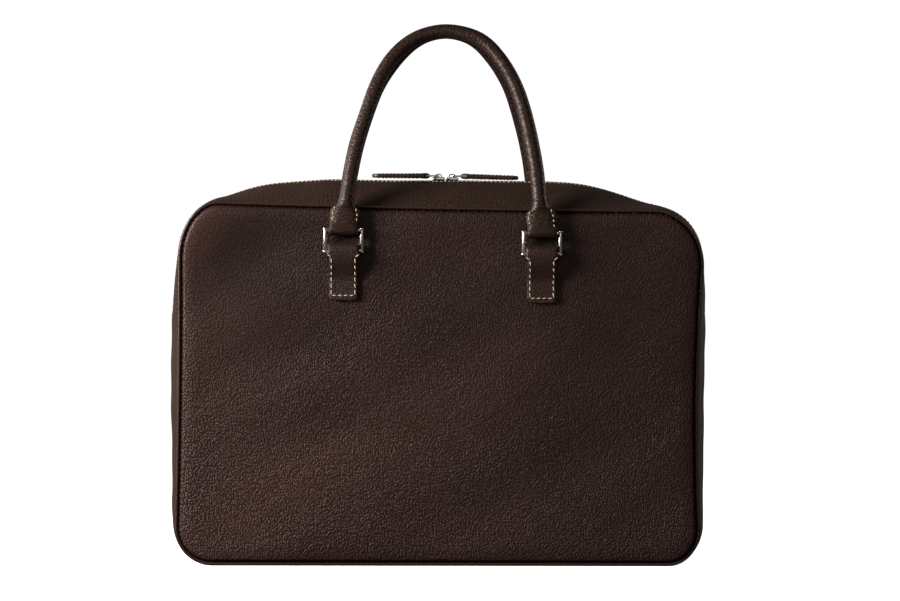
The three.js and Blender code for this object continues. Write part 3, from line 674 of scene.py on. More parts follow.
def gusset_waves(arc, y, top):
    """Low waves along the band and the fine puckers that the seam's thread pulls."""
    near_seam = clamp((np.abs(y) / gusset_half - 0.45) / 0.5)
    near_seam *= clamp((gusset_half - np.abs(y)) / (2 * MM))
    pucker = np.sin(arc * 2 * math.pi / GUSSET_PUCKER + 2 * np.sin(arc * 61))
    low = np.sin(arc * 2 * math.pi / (83 * MM) + y * 40)
    low += np.sin(arc * 2 * math.pi / (37 * MM) - y * 60)
    middle = clamp((gusset_half - np.abs(y)) / GUSSET_CALM) * top
    return GUSSET_PUCKER_DEPTH * near_seam * pucker + GUSSET_WAVE_DEPTH * middle * low


def base_place(u, v):
    arc = base_arcs[0] + u * (base_arcs[1] - base_arcs[0])
    y = (2 * v - 1) * gusset_half
    z = outline_at(arc)[1]
    off_floor = clamp((z - 12 * MM) / (30 * MM))
    point = gusset_at(arc, y, tuck(y) + off_floor * gusset_waves(arc, y, 1.0))
    point[2] = np.maximum(point[2], 0)
    return point


base_length = base_arcs[1] - base_arcs[0]
base_band = shape_grid("base_band", 620, 44, base_place, flip=True)
real_uv(base_band, base_length, BODY_DEPTH)
add_modifier(base_band, "SOLIDIFY", thickness=GUSSET_THICKNESS, offset=-1)
finish_piece(base_band, gusset_leather, "gusset_leather", "gusset_base")

zip_length = zip_arcs[1] - zip_arcs[0]


def zip_band_place(face):
    def place(u, v):
        arc = zip_arcs[0] + u * zip_length
        y = slot_edge + v * (gusset_half - slot_edge)
        turned = clamp(1 - (y - slot_edge) / ZIP_EDGE_TURN)
        offset = tuck(y) + gusset_waves(arc, y, clamp((y - slot_edge) / GUSSET_CALM))
        return gusset_at(arc, face * y, offset - ZIP_EDGE_SINK * turned ** 2)
    return place


for face_name, face in FACES:
    band = shape_grid(f"zip_band_{face_name}", 520, 30, zip_band_place(face), flip=face > 0)
    real_uv(band, zip_length, BODY_DEPTH / 2)
    add_modifier(band, "SOLIDIFY", thickness=GUSSET_THICKNESS, offset=-1)
    finish_piece(band, gusset_leather, "gusset_leather", f"zip_gusset_{face_name}")

# Thread: waxed cream linen, sewn by hand in slightly leaning stitches that sink in at both
# ends. These first rows run along both edges of the zip.
THREAD_RADIUS = 0.45 * MM
ZIP_STITCH_PITCH = 3.2 * MM
ZIP_STITCH_LENGTH = 2.4 * MM
ZIP_STITCH_INSET = 3.2 * MM
ZIP_STITCH_ENDS = (-139 * MM, 165 * MM)
THREAD_PROUD = 0.1 * MM


def weave(tree, shader, pattern, dark, light, depth):
    """Tone and relief that follow one pattern of threads."""
    bump = add_node(tree, "Bump", {"Distance": depth, "Height": pattern})
    tone = add_node(tree, "Mix", {
        "Factor": pattern, "A": (*dark, 1), "B": (*light, 1),
    }, data_type="RGBA")
    plug(tree, shader, {
        "Base Color": tone.outputs["Result"], "Normal": bump.outputs["Normal"],
    })


cream_thread, thread_tree, thread_shader = new_material("cream_thread", (0.56, 0.43, 0.29), 0.7)
thread_place = add_node(thread_tree, "TexCoord", {})
thread_twist = add_node(thread_tree, "TexWave", {
    "Vector": thread_place.outputs["Object"], "Scale": 900,
}, bands_direction="DIAGONAL")
weave(
    thread_tree, thread_shader, thread_twist.outputs["Fac"],
    dark=(0.40, 0.29, 0.19), light=(0.62, 0.49, 0.34), depth=0.06 * MM,
)

bpy.ops.mesh.primitive_uv_sphere_add(segments=8, ring_count=5, radius=1)
stitch_pattern = bpy.context.object
stitch_points = np.array([vertex.co[:] for vertex in stitch_pattern.data.vertices])
stitch_faces = [tuple(face.vertices) for face in stitch_pattern.data.polygons]
bpy.data.objects.remove(stitch_pattern)


def mesh_piece(name, points, faces):
    mesh = bpy.data.meshes.new(name)
    mesh.from_pydata(points, [], faces)
    piece = bpy.data.objects.new(name, mesh)
    bpy.context.scene.collection.objects.link(piece)
    weld(piece, 1e-7)
    return piece


def sew(name, stitches, slot):
    """One mesh of many stitches, each a (middle, way, outward, length) row."""
    points, faces = [], []
    for middle, way, outward, length in stitches:
        way = unit(np.asarray(way))
        side = unit(np.cross(outward, way))
        up = np.cross(way, side)
        way = way + 0.12 * side
        basis = np.stack([way * length / 2, side * THREAD_RADIUS * 1.1, up * THREAD_RADIUS])
        first = len(points) * len(stitch_points)
        ball = stitch_points[:, [2, 0, 1]]
        bulge = np.sign(ball[:, 0]) * np.abs(ball[:, 0]) ** 0.8
        points.append(np.stack([bulge, ball[:, 1], ball[:, 2]], axis=1) @ basis + middle)
        faces += [tuple(index + first for index in face) for face in stitch_faces]
    finish_piece(mesh_piece(name, np.vstack(points).tolist(), faces), cream_thread, slot)


def band_stitch(arc, y, proud, length):
    """A stitch that lies along the gusset, with its middle proud of the leather."""
    step = 0.5 * MM
    here = gusset_at(arc, y, proud)
    ahead = gusset_at(arc + step, y, proud) - here
    beside = gusset_at(arc, y + step, proud) - here
    outward = unit(np.cross(beside, ahead))
    _, _, nx, nz = outline_at(arc)
    if outward @ np.array([nx, 0, nz]) < 0:
        outward = -outward
    return here, ahead, outward, length


zip_rows = []
for face in (-1, 1):
    for arc in np.arange(zip_arcs[0] + ZIP_STITCH_PITCH, zip_arcs[1], ZIP_STITCH_PITCH):
        on_top = ZIP_STITCH_ENDS[0] < outline_at(arc)[0] < ZIP_STITCH_ENDS[1]
        proud = THREAD_PROUD if on_top else -2 * THREAD_PROUD
        y = face * (slot_edge + ZIP_STITCH_INSET)
        zip_rows.append(band_stitch(arc, y, proud, ZIP_STITCH_LENGTH))
sew("zip_stitches", zip_rows, "gusset_leather")

# Zip: two dark woven tapes, shown as one, sewn under the turned edges of the bands. Their
# nickel teeth are clamped on the tapes' edges and closed down the middle.
TAPE_WIDTH = 23 * MM
TAPE_THICKNESS = 0.7 * MM
CHAIN_THICKNESS = 1.0 * MM
CHAIN_WIDTH = 5.6 * MM
TOOTH_PITCH = 1.5 * MM
TOOTH_HALF_LENGTH = 0.3 * MM
LAYER_GAP = 0.3 * MM
tape_top = -GUSSET_THICKNESS - 2 * LAYER_GAP
chain_top = tape_top + LAYER_GAP + CHAIN_THICKNESS

zip_cloth, cloth_tree, cloth_shader = new_material("zip_cloth", (0.012, 0.008, 0.007), 0.85)
cloth_place = add_node(cloth_tree, "TexCoord", {})
warp, weft = (
    add_node(cloth_tree, "TexWave", {
        "Vector": cloth_place.outputs["UV"], "Scale": 330,
    }, bands_direction=direction)
    for direction in ("X", "Y")
)
cloth_weave = add_node(cloth_tree, "Math", {
    0: warp.outputs["Fac"], 1: weft.outputs["Fac"],
}, operation="MULTIPLY").outputs["Value"]
weave(
    cloth_tree, cloth_shader, cloth_weave,
    dark=(0.008, 0.005, 0.004), light=(0.022, 0.015, 0.012), depth=0.12 * MM,
)


def tape_place(u, v):
    arc = zip_arcs[0] + u * zip_length
    return gusset_at(arc, (v - 0.5) * TAPE_WIDTH, tape_top)


tape = shape_grid("zip_tape_cloth", 420, 12, tape_place, flip=True)
real_uv(tape, zip_length, TAPE_WIDTH)
add_modifier(tape, "SOLIDIFY", thickness=TAPE_THICKNESS, offset=-1)
finish_piece(tape, zip_cloth, "zip_cloth", "zip_tape")

nickel, nickel_tree, nickel_shader = new_material("polished_nickel", (0.80, 0.77, 0.72), 0.16, 1.0)
nickel_place = add_node(nickel_tree, "TexCoord", {})
nickel_wear = add_node(nickel_tree, "TexNoise", {
    "Vector": nickel_place.outputs["Object"], "Scale": 700, "Detail": 4,
})
nickel_range = add_node(nickel_tree, "MapRange", {
    "Value": nickel_wear.outputs["Fac"], "To Min": 0.14, "To Max": 0.22,
})
plug(nickel_tree, nickel_shader, {"Roughness": nickel_range.outputs["Result"]})


BOX_SIDES = (
    (0, 1, 3, 2), (4, 6, 7, 5), (0, 4, 5, 1), (2, 3, 7, 6), (0, 2, 6, 4), (1, 5, 7, 3),
)


def box_at(points, faces, middle, way, side, up):
    """Adds a box to the lists: its half sizes are the lengths of way, side and up."""
    first = len(points)
    points += [
        tuple(middle + a * way + b * side + c * up)
        for a in (-1, 1) for b in (-1, 1) for c in (-1, 1)
    ]
    faces += [tuple(first + k for k in quad) for quad in BOX_SIDES]


tooth_points, tooth_faces = [], []
for index, arc in enumerate(np.arange(zip_arcs[0] + TOOTH_PITCH, zip_arcs[1], TOOTH_PITCH / 2)):
    _, _, nx, nz = outline_at(arc)
    up = np.array([nx, 0, nz])
    way = np.cross(np.array([0, 1, 0]), up)
    shift = 0.16 * CHAIN_WIDTH * (1 if index % 2 else -1)
    middle = gusset_at(arc, shift, chain_top - CHAIN_THICKNESS / 2)
    side = np.array([0, 0.34 * CHAIN_WIDTH, 0])
    way, up = way * TOOTH_HALF_LENGTH, up * CHAIN_THICKNESS / 2
    box_at(tooth_points, tooth_faces, middle, way, side, up)
teeth = mesh_piece("zip_teeth", tooth_points, tooth_faces)
finish_piece(teeth, nickel, "nickel", "zip_chain")

# Zip sliders: cast nickel bodies that meet back to back, each with a bridge on top. A wire
# link hangs a folded leather tongue from it, sewn round its edge and lying along the zip.
SLIDER_HEIGHT = 2.6 * MM
BRIDGE_HALF_THICKNESS = 0.42 * MM
LINK_RADIUS = 0.7 * MM
LINK_CORNER = 1.6 * MM
TONGUE_WIDTH = 11 * MM
TONGUE_THICKNESS = 3.7 * MM
TONGUE_SQUARENESS = 0.45
TONGUE_EYE_HALF = 2.4 * MM
TONGUE_NECK = 5 * MM
TONGUE_TAPER = 0.14
TONGUE_HEAD = 3.2 * MM
TONGUE_DROOP = 1.2 * MM
TONGUE_STITCH_INSET = 1.8 * MM
TONGUE_STITCH_PITCH = 2.9 * MM
TONGUE_STITCH_ENDS = (10 * MM, 3 * MM)
TONGUE_STEP = 0.3 * MM
STITCH_LENGTH = 2.1 * MM


def squared(value, power):
    """A sine or cosine pushed out toward a square."""
    return np.sign(value) * np.abs(value) ** power


def cut_box(name, low, high, bevel, segments=3):
    """A box primitive of these corners with softened edges."""
    low, high = Vector(low), Vector(high)
    bpy.ops.mesh.primitive_cube_add(size=1)
    piece = bpy.context.object
    piece.name = name
    piece.data.transform(Matrix.LocRotScale((low + high) / 2, None, high - low))
    add_modifier(piece, "BEVEL", width=bevel, segments=segments, limit_method="NONE")
    return piece


def join_pieces(pieces, name):
    bpy.ops.object.select_all(action="DESELECT")
    for piece in pieces:
        piece.select_set(True)
    bpy.context.view_layer.objects.active = pieces[0]
    bpy.ops.object.join()
    pieces[0].name = name
    return pieces[0]


def wire_loop(name, path, radius, sides=10):
    """A round wire bent along a closed path of points."""
    path = np.asarray(path)
    arc = np.arange(len(path) + 1) / len(path)
    closed = np.vstack([path, path[:1]])
    ways = unit_rows(np.roll(path, -1, axis=0) - np.roll(path, 1, axis=0))
    ways = np.vstack([ways, ways[:1]])
    plane = unit(np.cross(path[1] - path[0], path[len(path) // 2] - path[0]))

    def place(u, v):
        centre = np.stack([np.interp(u, arc, closed[:, k]) for k in range(3)])
        way = np.stack([np.interp(u, arc, ways[:, k]) for k in range(3)])
        side = np.cross(way.T, plane).T
        side /= np.linalg.norm(side, axis=0)
        turn = 2 * math.pi * v
        return centre + radius * (side * np.cos(turn) + plane[:, None] * np.sin(turn))

    loop = shape_grid(name, len(path), sides, place)
    weld(loop)
    return loop


def rounded_rectangle(x0, x1, y0, y1, corner, steps=6):
    turns = np.linspace(0, math.pi / 2, steps)
    centres = [(x1 - corner, y1 - corner), (x0 + corner, y1 - corner),
               (x0 + corner, y0 + corner), (x1 - corner, y0 + corner)]
    points = []
    for quarter, (x, y) in enumerate(centres):
        for turn in turns + quarter * math.pi / 2:
            points.append((x + corner * math.cos(turn), y + corner * math.sin(turn)))
    return points


for side_name, direction in (("left", -1), ("right", 1)):
    low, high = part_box(f"slider_{side_name}")
    middle = (low.x + high.x) / 2
    plate_top = low.z + SLIDER_HEIGHT
    body = cut_box("slider_body", (low.x, low.y, low.z), (high.x, high.y, plate_top), 0.9 * MM)
    waist = cut_box(
        "slider_waist", (low.x + 1.4 * MM, low.y + 1.5 * MM, plate_top - 0.4 * MM),
        (high.x - 1.4 * MM, high.y - 1.5 * MM, plate_top + 0.25 * MM), 0.25 * MM,
    )
    bridge_leg = [
        (2.6 * MM, plate_top - 0.4 * MM), (2.2 * MM, plate_top + 1.5 * MM),
        (1.2 * MM, high.z - 0.5 * MM),
    ]
    bridge_path = [(middle - out, z) for out, z in bridge_leg]
    bridge_path += [(middle + out, z) for out, z in reversed(bridge_leg)]
    bridge_x, bridge_z = np.array(bridge_path).T
    shares = np.linspace(0, 1, len(bridge_path))

    def bridge_place(u, v):
        x = np.interp(u, shares, bridge_x)
        z = np.interp(u, shares, bridge_z)
        turn = 2 * math.pi * v
        thick = BRIDGE_HALF_THICKNESS * np.sin(turn)
        lean_x = np.gradient(bridge_x, shares)
        lean_z = np.gradient(bridge_z, shares)
        way_x, way_z = np.interp(u, shares, lean_x), np.interp(u, shares, lean_z)
        run = np.hypot(way_x, way_z)
        return x - thick * way_z / run, 1.0 * MM * np.cos(turn), z + thick * way_x / run

    bridge = shape_grid("slider_bridge", 20, 10, bridge_place)
    weld(bridge)
    slider = join_pieces([body, waist, bridge], f"slider_cast_{side_name}")
    finish_piece(slider, nickel, "nickel", f"slider_{side_name}")

    low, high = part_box(f"pull_link_{side_name}")
    ring_path = [
        (x, y, (low.z + high.z) / 2)
        for x, y in rounded_rectangle(
            low.x + LINK_RADIUS, high.x - LINK_RADIUS, low.y + LINK_RADIUS, high.y - LINK_RADIUS,
            LINK_CORNER,
        )
    ]
    link = wire_loop(f"pull_wire_{side_name}", ring_path, LINK_RADIUS)
    finish_piece(link, nickel, "nickel", f"pull_link_{side_name}")

    low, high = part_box(f"pull_{side_name}")
    start, end = (high.x, low.x) if direction < 0 else (low.x, high.x)
    length = abs(end - start)
    tongue_middle = (low.z + high.z) / 2
    start -= direction * TONGUE_HEAD
    length += TONGUE_HEAD
    droop = TONGUE_DROOP if direction > 0 else 0

    def tongue_half_width(run):
        neck = clamp(run / TONGUE_NECK)
        swell = 3 * neck ** 2 - 2 * neck ** 3
        eye = TONGUE_EYE_HALF + (TONGUE_WIDTH / 2 - TONGUE_EYE_HALF) * swell
        left_over = clamp((length - run) / (TONGUE_WIDTH / 2))
        return eye * np.sqrt(1 - (1 - left_over) ** 2 * 0.995)

    def tongue_place(u, v):
        run = length * (1 - np.cos(math.pi * u)) / 2
        turn = 2 * math.pi * v
        across = squared(np.cos(turn), TONGUE_SQUARENESS)
        up = squared(np.sin(turn), TONGUE_SQUARENESS)
        eye = clamp(1 - run / (2.2 * MM))
        tip = clamp(1 - (length - run) / (1.2 * MM))
        thick = TONGUE_THICKNESS / 2 * np.sqrt(1 - 0.97 * eye ** 2) * np.sqrt(1 - 0.9 * tip ** 2)
        thick = thick * (1 - TONGUE_TAPER * clamp(run / length))
        thick = thick * (1 + 0.22 * np.exp(-((run - 4 * MM) / (3 * MM)) ** 2))
        middle = tongue_middle - droop * run / length
        return start + direction * run, tongue_half_width(run) * across, middle + thick * up

    tongue = shape_grid(f"pull_tongue_{side_name}", 90, 32, tongue_place)
    real_uv(tongue, length, 2 * TONGUE_WIDTH)
    weld(tongue, 2e-5)
    finish_piece(tongue, smooth_leather, "smooth_leather", f"pull_{side_name}")
    rows = []
    first_stitch, end_space = TONGUE_STITCH_ENDS
    for run in np.arange(first_stitch, length - end_space, TONGUE_STITCH_PITCH):
        half, ahead = (
            tongue_half_width(spot) - TONGUE_STITCH_INSET for spot in (run, run + TONGUE_STEP)
        )
        thick = TONGUE_THICKNESS / 2 * (1 - TONGUE_TAPER * run / length)
        for side in (-1, 1):
            for top in (-1, 1):
                middle = tongue_middle - droop * run / length
                spot = np.array([start + direction * run, side * half, middle + top * thick])
                way = (direction * TONGUE_STEP, side * (ahead - half), 0)
                rows.append((spot, way, (0, 0, top), STITCH_LENGTH))
    sew(f"pull_stitches_{side_name}", rows, "smooth_leather")

# Rings: nickel bars bent square. The two level bars pass through the leather loops, and the
# upright bars show outside them, each with a small collar at its ends.
RING_RADIUS = 1.5 * MM
COLLAR_RADIUS = 2.0 * MM
COLLAR_HEIGHT = 1.5 * MM


def turned_bar(name, x, y, low, high, radius, bevel):
    bpy.ops.mesh.primitive_cylinder_add(vertices=24, radius=radius, depth=high - low)
    piece = bpy.context.object
    piece.name = name
    piece.data.transform(Matrix.Translation((x, y, (low + high) / 2)))
    add_modifier(piece, "BEVEL", width=bevel, segments=3, limit_method="ANGLE")
    return piece


for face_name, face in FACES:
    for side_name in ("left", "right"):
        node = f"ring_{face_name}_{side_name}"
        low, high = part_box(node)
        depth = (low.y + high.y) / 2
        parts = []
        for x in (low.x + RING_RADIUS, high.x - RING_RADIUS):
            parts.append(turned_bar("bar", x, depth, low.z, high.z, RING_RADIUS, 0.5 * MM))
            for bottom in (low.z, high.z - COLLAR_HEIGHT):
                collar = turned_bar(
                    "collar", x, depth, bottom, bottom + COLLAR_HEIGHT, COLLAR_RADIUS, 0.4 * MM
                )
                parts.append(collar)
        for z in (low.z + RING_RADIUS, high.z - RING_RADIUS):
            level_bar = turned_bar("level_bar", 0, 0, 0, high.x - low.x - RING_RADIUS,
                                   RING_RADIUS * 0.9, 0.2 * MM)
            level_bar.data.transform(Matrix.Rotation(math.pi / 2, 4, "Y"))
            level_bar.data.transform(Matrix.Translation((low.x + RING_RADIUS / 2, depth, z)))
            parts.append(level_bar)
        ring = join_pieces(parts, f"{node}_bars")
        finish_piece(ring, nickel, "nickel", node)

# Tabs: two layers of hide folded round the ring's lower bar and sewn flat on the panel, with
# small shoulders below the ring.
TAB_WIDTH = 21.6 * MM
TAB_SHOULDER_WIDTH = 25.2 * MM
TAB_LOOP_WIDTH = 24.0 * MM
TAB_THICKNESS = 3.0 * MM
TAB_CORNER = 3.0 * MM
TAB_SQUARENESS = 0.28
TAB_END_THICKNESS = 0.4 * MM
SHOULDER_CURVE = 1.6 * MM
NECK_CURVE = 2.0 * MM
NECK_DROP = 1.5 * MM
TAB_SECTIONS = 64
TAB_SIDE_STITCHES = 6
TAB_END_STITCHES = 4
TAB_SIDE_INSET = 1.9 * MM
TAB_CORNER_INSET = 2.2 * MM
TAB_END_INSET = 3.4 * MM
SHOULDER_STITCH = 3.4 * MM
LOOP_RADIUS = 5.15 * MM
SHOULDER_DROP = 5.0 * MM
TAB_LOOP_REACH = 6.2 * MM
TAB_SLOPE = 23 * MM
TAB_END_LIFT = 1.3 * MM
SEAT_GAP = 0.1 * MM

tab_leather = leather(
    "tab_leather", colour=(0.031, 0.014, 0.0105), crease=0.47,
    light=(0.042, 0.0195, 0.015), grain=1.6 * MM, depth=0.24 * MM, roughness=0.42,
    map_name="Object",
)


def boxed_roll(name, centres, sizes, squares, across, through, columns, sides, lens=0):
    """A closed piece through sections. Each has a middle, a width and a thickness. The two
    axes and the squareness are given for each or once for all: a squareness of 1 is round,
    and less is nearer to a box. The lens share thins the sections toward their edges."""
    count = len(centres)
    shares = np.linspace(0, 1, count)
    across, through = (np.broadcast_to(axis, (count, 3)) for axis in (across, through))
    squares, lens = (np.broadcast_to(value, count) for value in (squares, lens))

    def blend(u, values):
        return np.stack([np.interp(u, shares, values[:, k]) for k in range(values.shape[1])])

    def place(u, v):
        turn = 2 * math.pi * v
        power = np.interp(u, shares, squares)
        edge = np.interp(u, shares, lens)
        c = squared(np.cos(turn), power)
        s = squared(np.sin(turn), power) * (1 - edge * np.abs(c) ** 2.2)
        size = blend(u, sizes)
        to_side = blend(u, across) * size[0] / 2 * c
        return blend(u, centres) + to_side + blend(u, through) * size[1] / 2 * s

    piece = shape_grid(name, columns, sides, place)
    weld(piece, 1e-6, close_ends)
    return piece


for face_name, face in FACES:
    dents = DENTS[face_name]
    for side_name in ("left", "right"):
        low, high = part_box(f"tab_{face_name}_{side_name}")
        ring_low, ring_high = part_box(f"ring_{face_name}_{side_name}")
        x = (low.x + high.x) / 2
        bar_z = ring_low.z + RING_RADIUS
        bar_y = (ring_low.y + ring_high.y) / 2
        end_z = low.z + TAB_END_LIFT
        sections = []
        for k in range(TAB_SECTIONS + 1):
            z = end_z + k / TAB_SECTIONS * (bar_z + TAB_LOOP_REACH - end_z)
            back = panel_front(x, z, dents) + SEAT_GAP
            climb = clamp((z - (bar_z - TAB_SLOPE)) / TAB_SLOPE)
            if z < bar_z:
                swell = climb ** 2 * (3 - 2 * climb)
                thick = TAB_THICKNESS + (2 * LOOP_RADIUS - TAB_THICKNESS) * swell
                middle = (back + thick / 2) * (1 - swell) + abs(bar_y) * swell
            else:
                around = math.sqrt(max(1 - ((z - bar_z) / TAB_LOOP_REACH) ** 2, 0))
                thick = max(2 * LOOP_RADIUS * around, TAB_END_THICKNESS)
                middle = abs(bar_y)
            corner = max(1 - (z - end_z) / TAB_CORNER, 0)
            widen = clamp((z - (bar_z - SHOULDER_DROP)) / SHOULDER_CURVE)
            narrow = clamp((z - (bar_z - NECK_DROP)) / NECK_CURVE)
            width = TAB_WIDTH + (TAB_SHOULDER_WIDTH - TAB_WIDTH) * widen
            width -= (TAB_SHOULDER_WIDTH - TAB_LOOP_WIDTH) * narrow
            width -= 2 * TAB_CORNER * (1 - math.sqrt(max(1 - corner ** 2, 0)))
            sections.append((x, face * middle, z, width, thick))
        sections = np.array(sections)
        tab = boxed_roll(
            f"tab_hide_{face_name}_{side_name}", sections[:, :3], sections[:, 3:],
            TAB_SQUARENESS, (1, 0, 0), (0, 1, 0), 110, 48,
        )
        finish_piece(tab, tab_leather, "smooth_leather", f"tab_{face_name}_{side_name}")

        rows = []
        outward = (0, face, 0)
        outer_face = np.abs(sections[:, 1]) + sections[:, 4] / 2

        def on_tab(dx, z):
            return np.array([x + dx, face * np.interp(z, sections[:, 2], outer_face), z])

        top_z = bar_z - SHOULDER_DROP
        bottom_z = end_z + TAB_END_INSET
        pitch = (top_z - bottom_z) / TAB_SIDE_STITCHES
        for side in (-1, 1):
            for k in range(TAB_SIDE_STITCHES):
                spot = on_tab(side * (TAB_WIDTH / 2 - TAB_SIDE_INSET), bottom_z + (k + 0.5) * pitch)
                rows.append((spot, (0, 0, 1), outward, pitch * 0.74))
            shoulder = on_tab(side * (TAB_WIDTH / 2 - 0.3 * MM), top_z + 1.2 * MM)
            rows.append((shoulder, (side, 0, 0.6), outward, SHOULDER_STITCH))
        run = (TAB_WIDTH - 2 * TAB_CORNER_INSET) / TAB_END_STITCHES
        for k in range(TAB_END_STITCHES):
            dx = -TAB_WIDTH / 2 + TAB_CORNER_INSET + (k + 0.5) * run
            rows.append((on_tab(dx, bottom_z), (1, 0, 0), outward, run * 0.76))
        sew(f"tab_stitches_{face_name}_{side_name}", rows, "smooth_leather")

# Handles: hide rolled round a rope core and sewn along the inner side. Each root is left
# flat, sewn along both edges and folded round the ring's upper bar.
RING_SPACING = 149.4 * MM
RING_OFFSET = 3.5 * MM
HANDLE_RISE = 152.2 * MM
HANDLE_DIAMETER = 11.6 * MM
HANDLE_LOOP_WIDTH = 22.4 * MM
HANDLE_ROOT_THICKNESS = 8 * MM
HANDLE_TOP_HALF_GAP = 7 * MM
HANDLE_TABLE = table("up left right backL backR lean root size", [
    (0.03, -0.99, 1, -0.99, 1, 0, 1, 1), (0.097, -0.985, 0.985, -0.985, 0.985, 0, 0.94, 1),
    (0.14, -0.973, 0.975, -0.973, 0.973, 0.02, 0.04, 1),
    (0.3, -0.922, 0.946, -0.922, 0.941, 0.15, 0, 1),
    (0.45, -0.853, 0.894, -0.855, 0.883, 0.31, 0, 1),
    (0.6, -0.753, 0.825, -0.75, 0.797, 0.49, 0, 0.98),
    (0.73, -0.661, 0.738, -0.645, 0.703, 0.65, 0, 0.96),
    (0.85, -0.526, 0.601, -0.48, 0.553, 0.8, 0, 0.94),
    (0.91, -0.41, 0.498, -0.366, 0.443, 0.88, 0, 0.93),
    (0.965, -0.258, 0.365, -0.225, 0.32, 0.95, 0, 0.92), (1, 0.04, 0.04, 0.04, 0.04, 1, 0, 0.92),
])
HANDLE_LOOP_REACH = 4.1 * MM
LOOP_SQUARENESS = 0.3
ROOT_STITCH_INSET = 2.2 * MM
STITCH_SINK = 0.15 * MM
HANDLE_STITCH_PITCH = 2.9 * MM
PATH_CALM = 17

handle_leather = leather(
    "handle_leather", colour=(0.030, 0.0135, 0.0095), crease=0.4,
    light=(0.041, 0.0195, 0.0140), grain=2.0 * MM, depth=0.20 * MM, roughness=0.42,
    stretch=(0.9, 1.7), gloss=0.3,
)


def smooth_path(points, steps):
    """Even samples of a Catmull-Rom curve through rows of numbers."""
    points = np.asarray(points, float)
    padded = np.vstack([2 * points[0] - points[1], points, 2 * points[-1] - points[-2]])
    samples = []
    for k in range(len(points) - 1):
        p0, p1, p2, p3 = padded[k:k + 4]
        for t in np.linspace(0, 1, 24, endpoint=False):
            samples.append(0.5 * (2 * p1 + (p2 - p0) * t + (2 * p0 - 5 * p1 + 4 * p2 - p3) * t ** 2
                                  + (3 * p1 - p0 - 3 * p2 + p3) * t ** 3))
    samples = np.vstack([samples, points[-1]])
    arc = lengths_along(samples[:, :3])
    even = np.linspace(0, arc[-1], steps + 1)
    columns = [np.interp(even, arc, samples[:, k]) for k in range(samples.shape[1])]
    for k in range(3):
        column, reach = columns[k], PATH_CALM // 2
        before = 2 * column[0] - column[reach:0:-1]
        after = 2 * column[-1] - column[-2:-reach - 2:-1]
        padded = np.concatenate([before, column, after])
        columns[k] = np.convolve(padded, np.full(PATH_CALM, 1 / PATH_CALM), "valid")
    return np.stack(columns, axis=1)


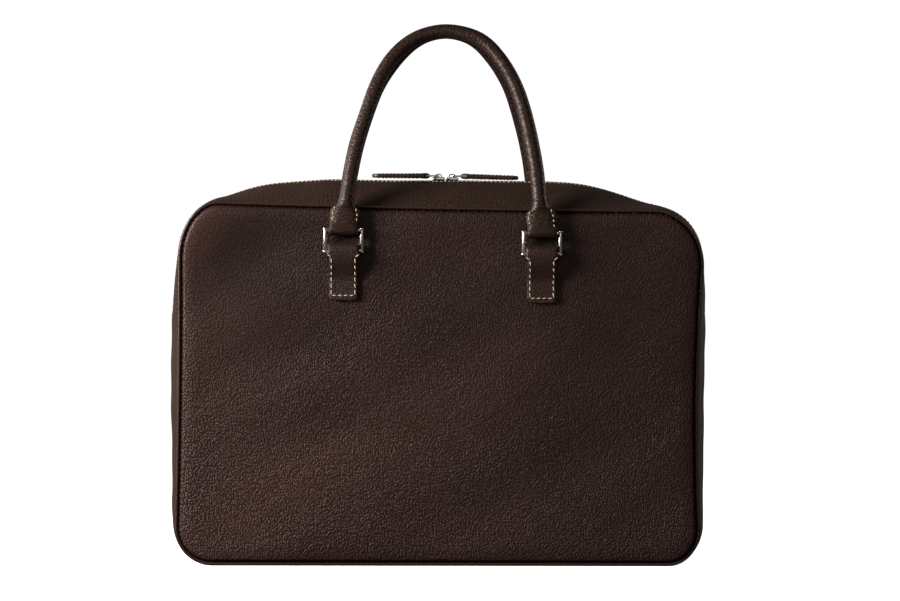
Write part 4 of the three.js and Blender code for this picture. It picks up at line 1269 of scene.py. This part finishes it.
for face_name, face in FACES:
    bars = {}
    for side_name in ("left", "right"):
        ring_low, ring_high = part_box(f"ring_{face_name}_{side_name}")
        bars[side_name] = (ring_high.z - RING_RADIUS, (ring_low.x + ring_high.x) / 2)
    ring_depth = abs((ring_low.y + ring_high.y) / 2)
    middle_bar = (bars["left"][0] + bars["right"][0]) / 2

    def handle_row(row, leg, side_name):
        bar = bars[side_name][0] + (middle_bar - bars[side_name][0]) * row["up"]
        depth = ring_depth + (HANDLE_TOP_HALF_GAP - ring_depth) * row["lean"]
        size = row["size"] * HANDLE_DIAMETER
        return (
            RING_OFFSET + row[leg] * RING_SPACING / 2,
            face * depth,
            bar + row["up"] * HANDLE_RISE,
            size + (HANDLE_LOOP_WIDTH - size) * row["root"],
            size + (HANDLE_ROOT_THICKNESS - size) * row["root"],
            row["root"],
        )

    left_leg, right_leg = ("left", "right") if face < 0 else ("backL", "backR")
    leg_rows = [handle_row(row, left_leg, "left") for row in HANDLE_TABLE]
    leg_rows += [handle_row(row, right_leg, "right") for row in reversed(HANDLE_TABLE[:-1])]
    path = smooth_path(leg_rows, 300)

    def loop_rows(side_name):
        """Sections from the underside of the fold round the bar up to the root."""
        bar_z, bar_x = bars[side_name]
        rows = []
        for angle in np.linspace(-85, 0, 10):
            drop = HANDLE_LOOP_REACH * math.sin(math.radians(angle))
            thick = 2 * LOOP_RADIUS * math.cos(math.radians(angle))
            rows.append((bar_x, face * ring_depth, bar_z + drop, HANDLE_LOOP_WIDTH, thick, 0))
        return rows

    left_loop, right_loop = loop_rows("left"), loop_rows("right")
    whole = np.vstack([left_loop, path, right_loop[::-1]])
    centres = whole[:, :3]
    ways = np.gradient(centres, axis=0)
    ways /= np.maximum(np.linalg.norm(ways, axis=1), 1e-12)[:, None]
    across = unit_rows(np.cross(ways, (0, 1, 0)))
    through = np.cross(across, ways)
    fold = len(left_loop)
    root_share = clamp(whole[:, 5])
    squares = 1 - 0.35 * root_share
    squares[:fold] = squares[-fold:] = LOOP_SQUARENESS
    near_left = clamp(1 - np.arange(len(whole)) / (fold + 8))
    near_right = near_left[::-1]
    lens = 0.5 * root_share * (1 - np.maximum(near_left, near_right))
    handle = boxed_roll(
        f"handle_hide_{face_name}", centres, whole[:, 3:5], squares, across, through, 640, 36, lens,
    )
    run = lengths_along(centres)
    girth = whole[:, 3] * (1.1 + 1.6 * root_share) + whole[:, 4] * 2.0
    shares = np.linspace(0, 1, len(whole))
    move_uv(handle, lambda u, v: (
        np.interp(u, shares, run), (v - 0.25) * np.interp(u, shares, girth),
    ))
    finish_piece(handle, handle_leather, "smooth_leather", f"handle_{face_name}")

    rows = []
    run = 0.0
    for k in range(1, len(path)):
        spot = path[k, :3]
        way = spot - path[k - 1, :3]
        run += float(np.linalg.norm(way))
        if run < HANDLE_STITCH_PITCH:
            continue
        run = 0.0
        side = unit(np.cross(way, (0, 1, 0)))
        inward = unit(np.cross(side, way))
        if inward[1] * face > 0:
            inward = -inward
        root = path[k, 5]
        if root < 0.02:
            thread = spot + inward * (path[k, 4] / 2 - STITCH_SINK)
            rows.append((thread, way, inward, STITCH_LENGTH))
        elif root > 0.3:
            for edge in (-1, 1):
                for layer in (-1, 1):
                    out = edge * (path[k, 3] / 2 - ROOT_STITCH_INSET)
                    thick = path[k, 4] / 2 * (1 - 0.34 * root)
                    rows.append((spot + side * out + inward * layer * thick, way,
                                 inward * layer, STITCH_LENGTH))
    sew(f"handle_stitches_{face_name}", rows, "smooth_leather")
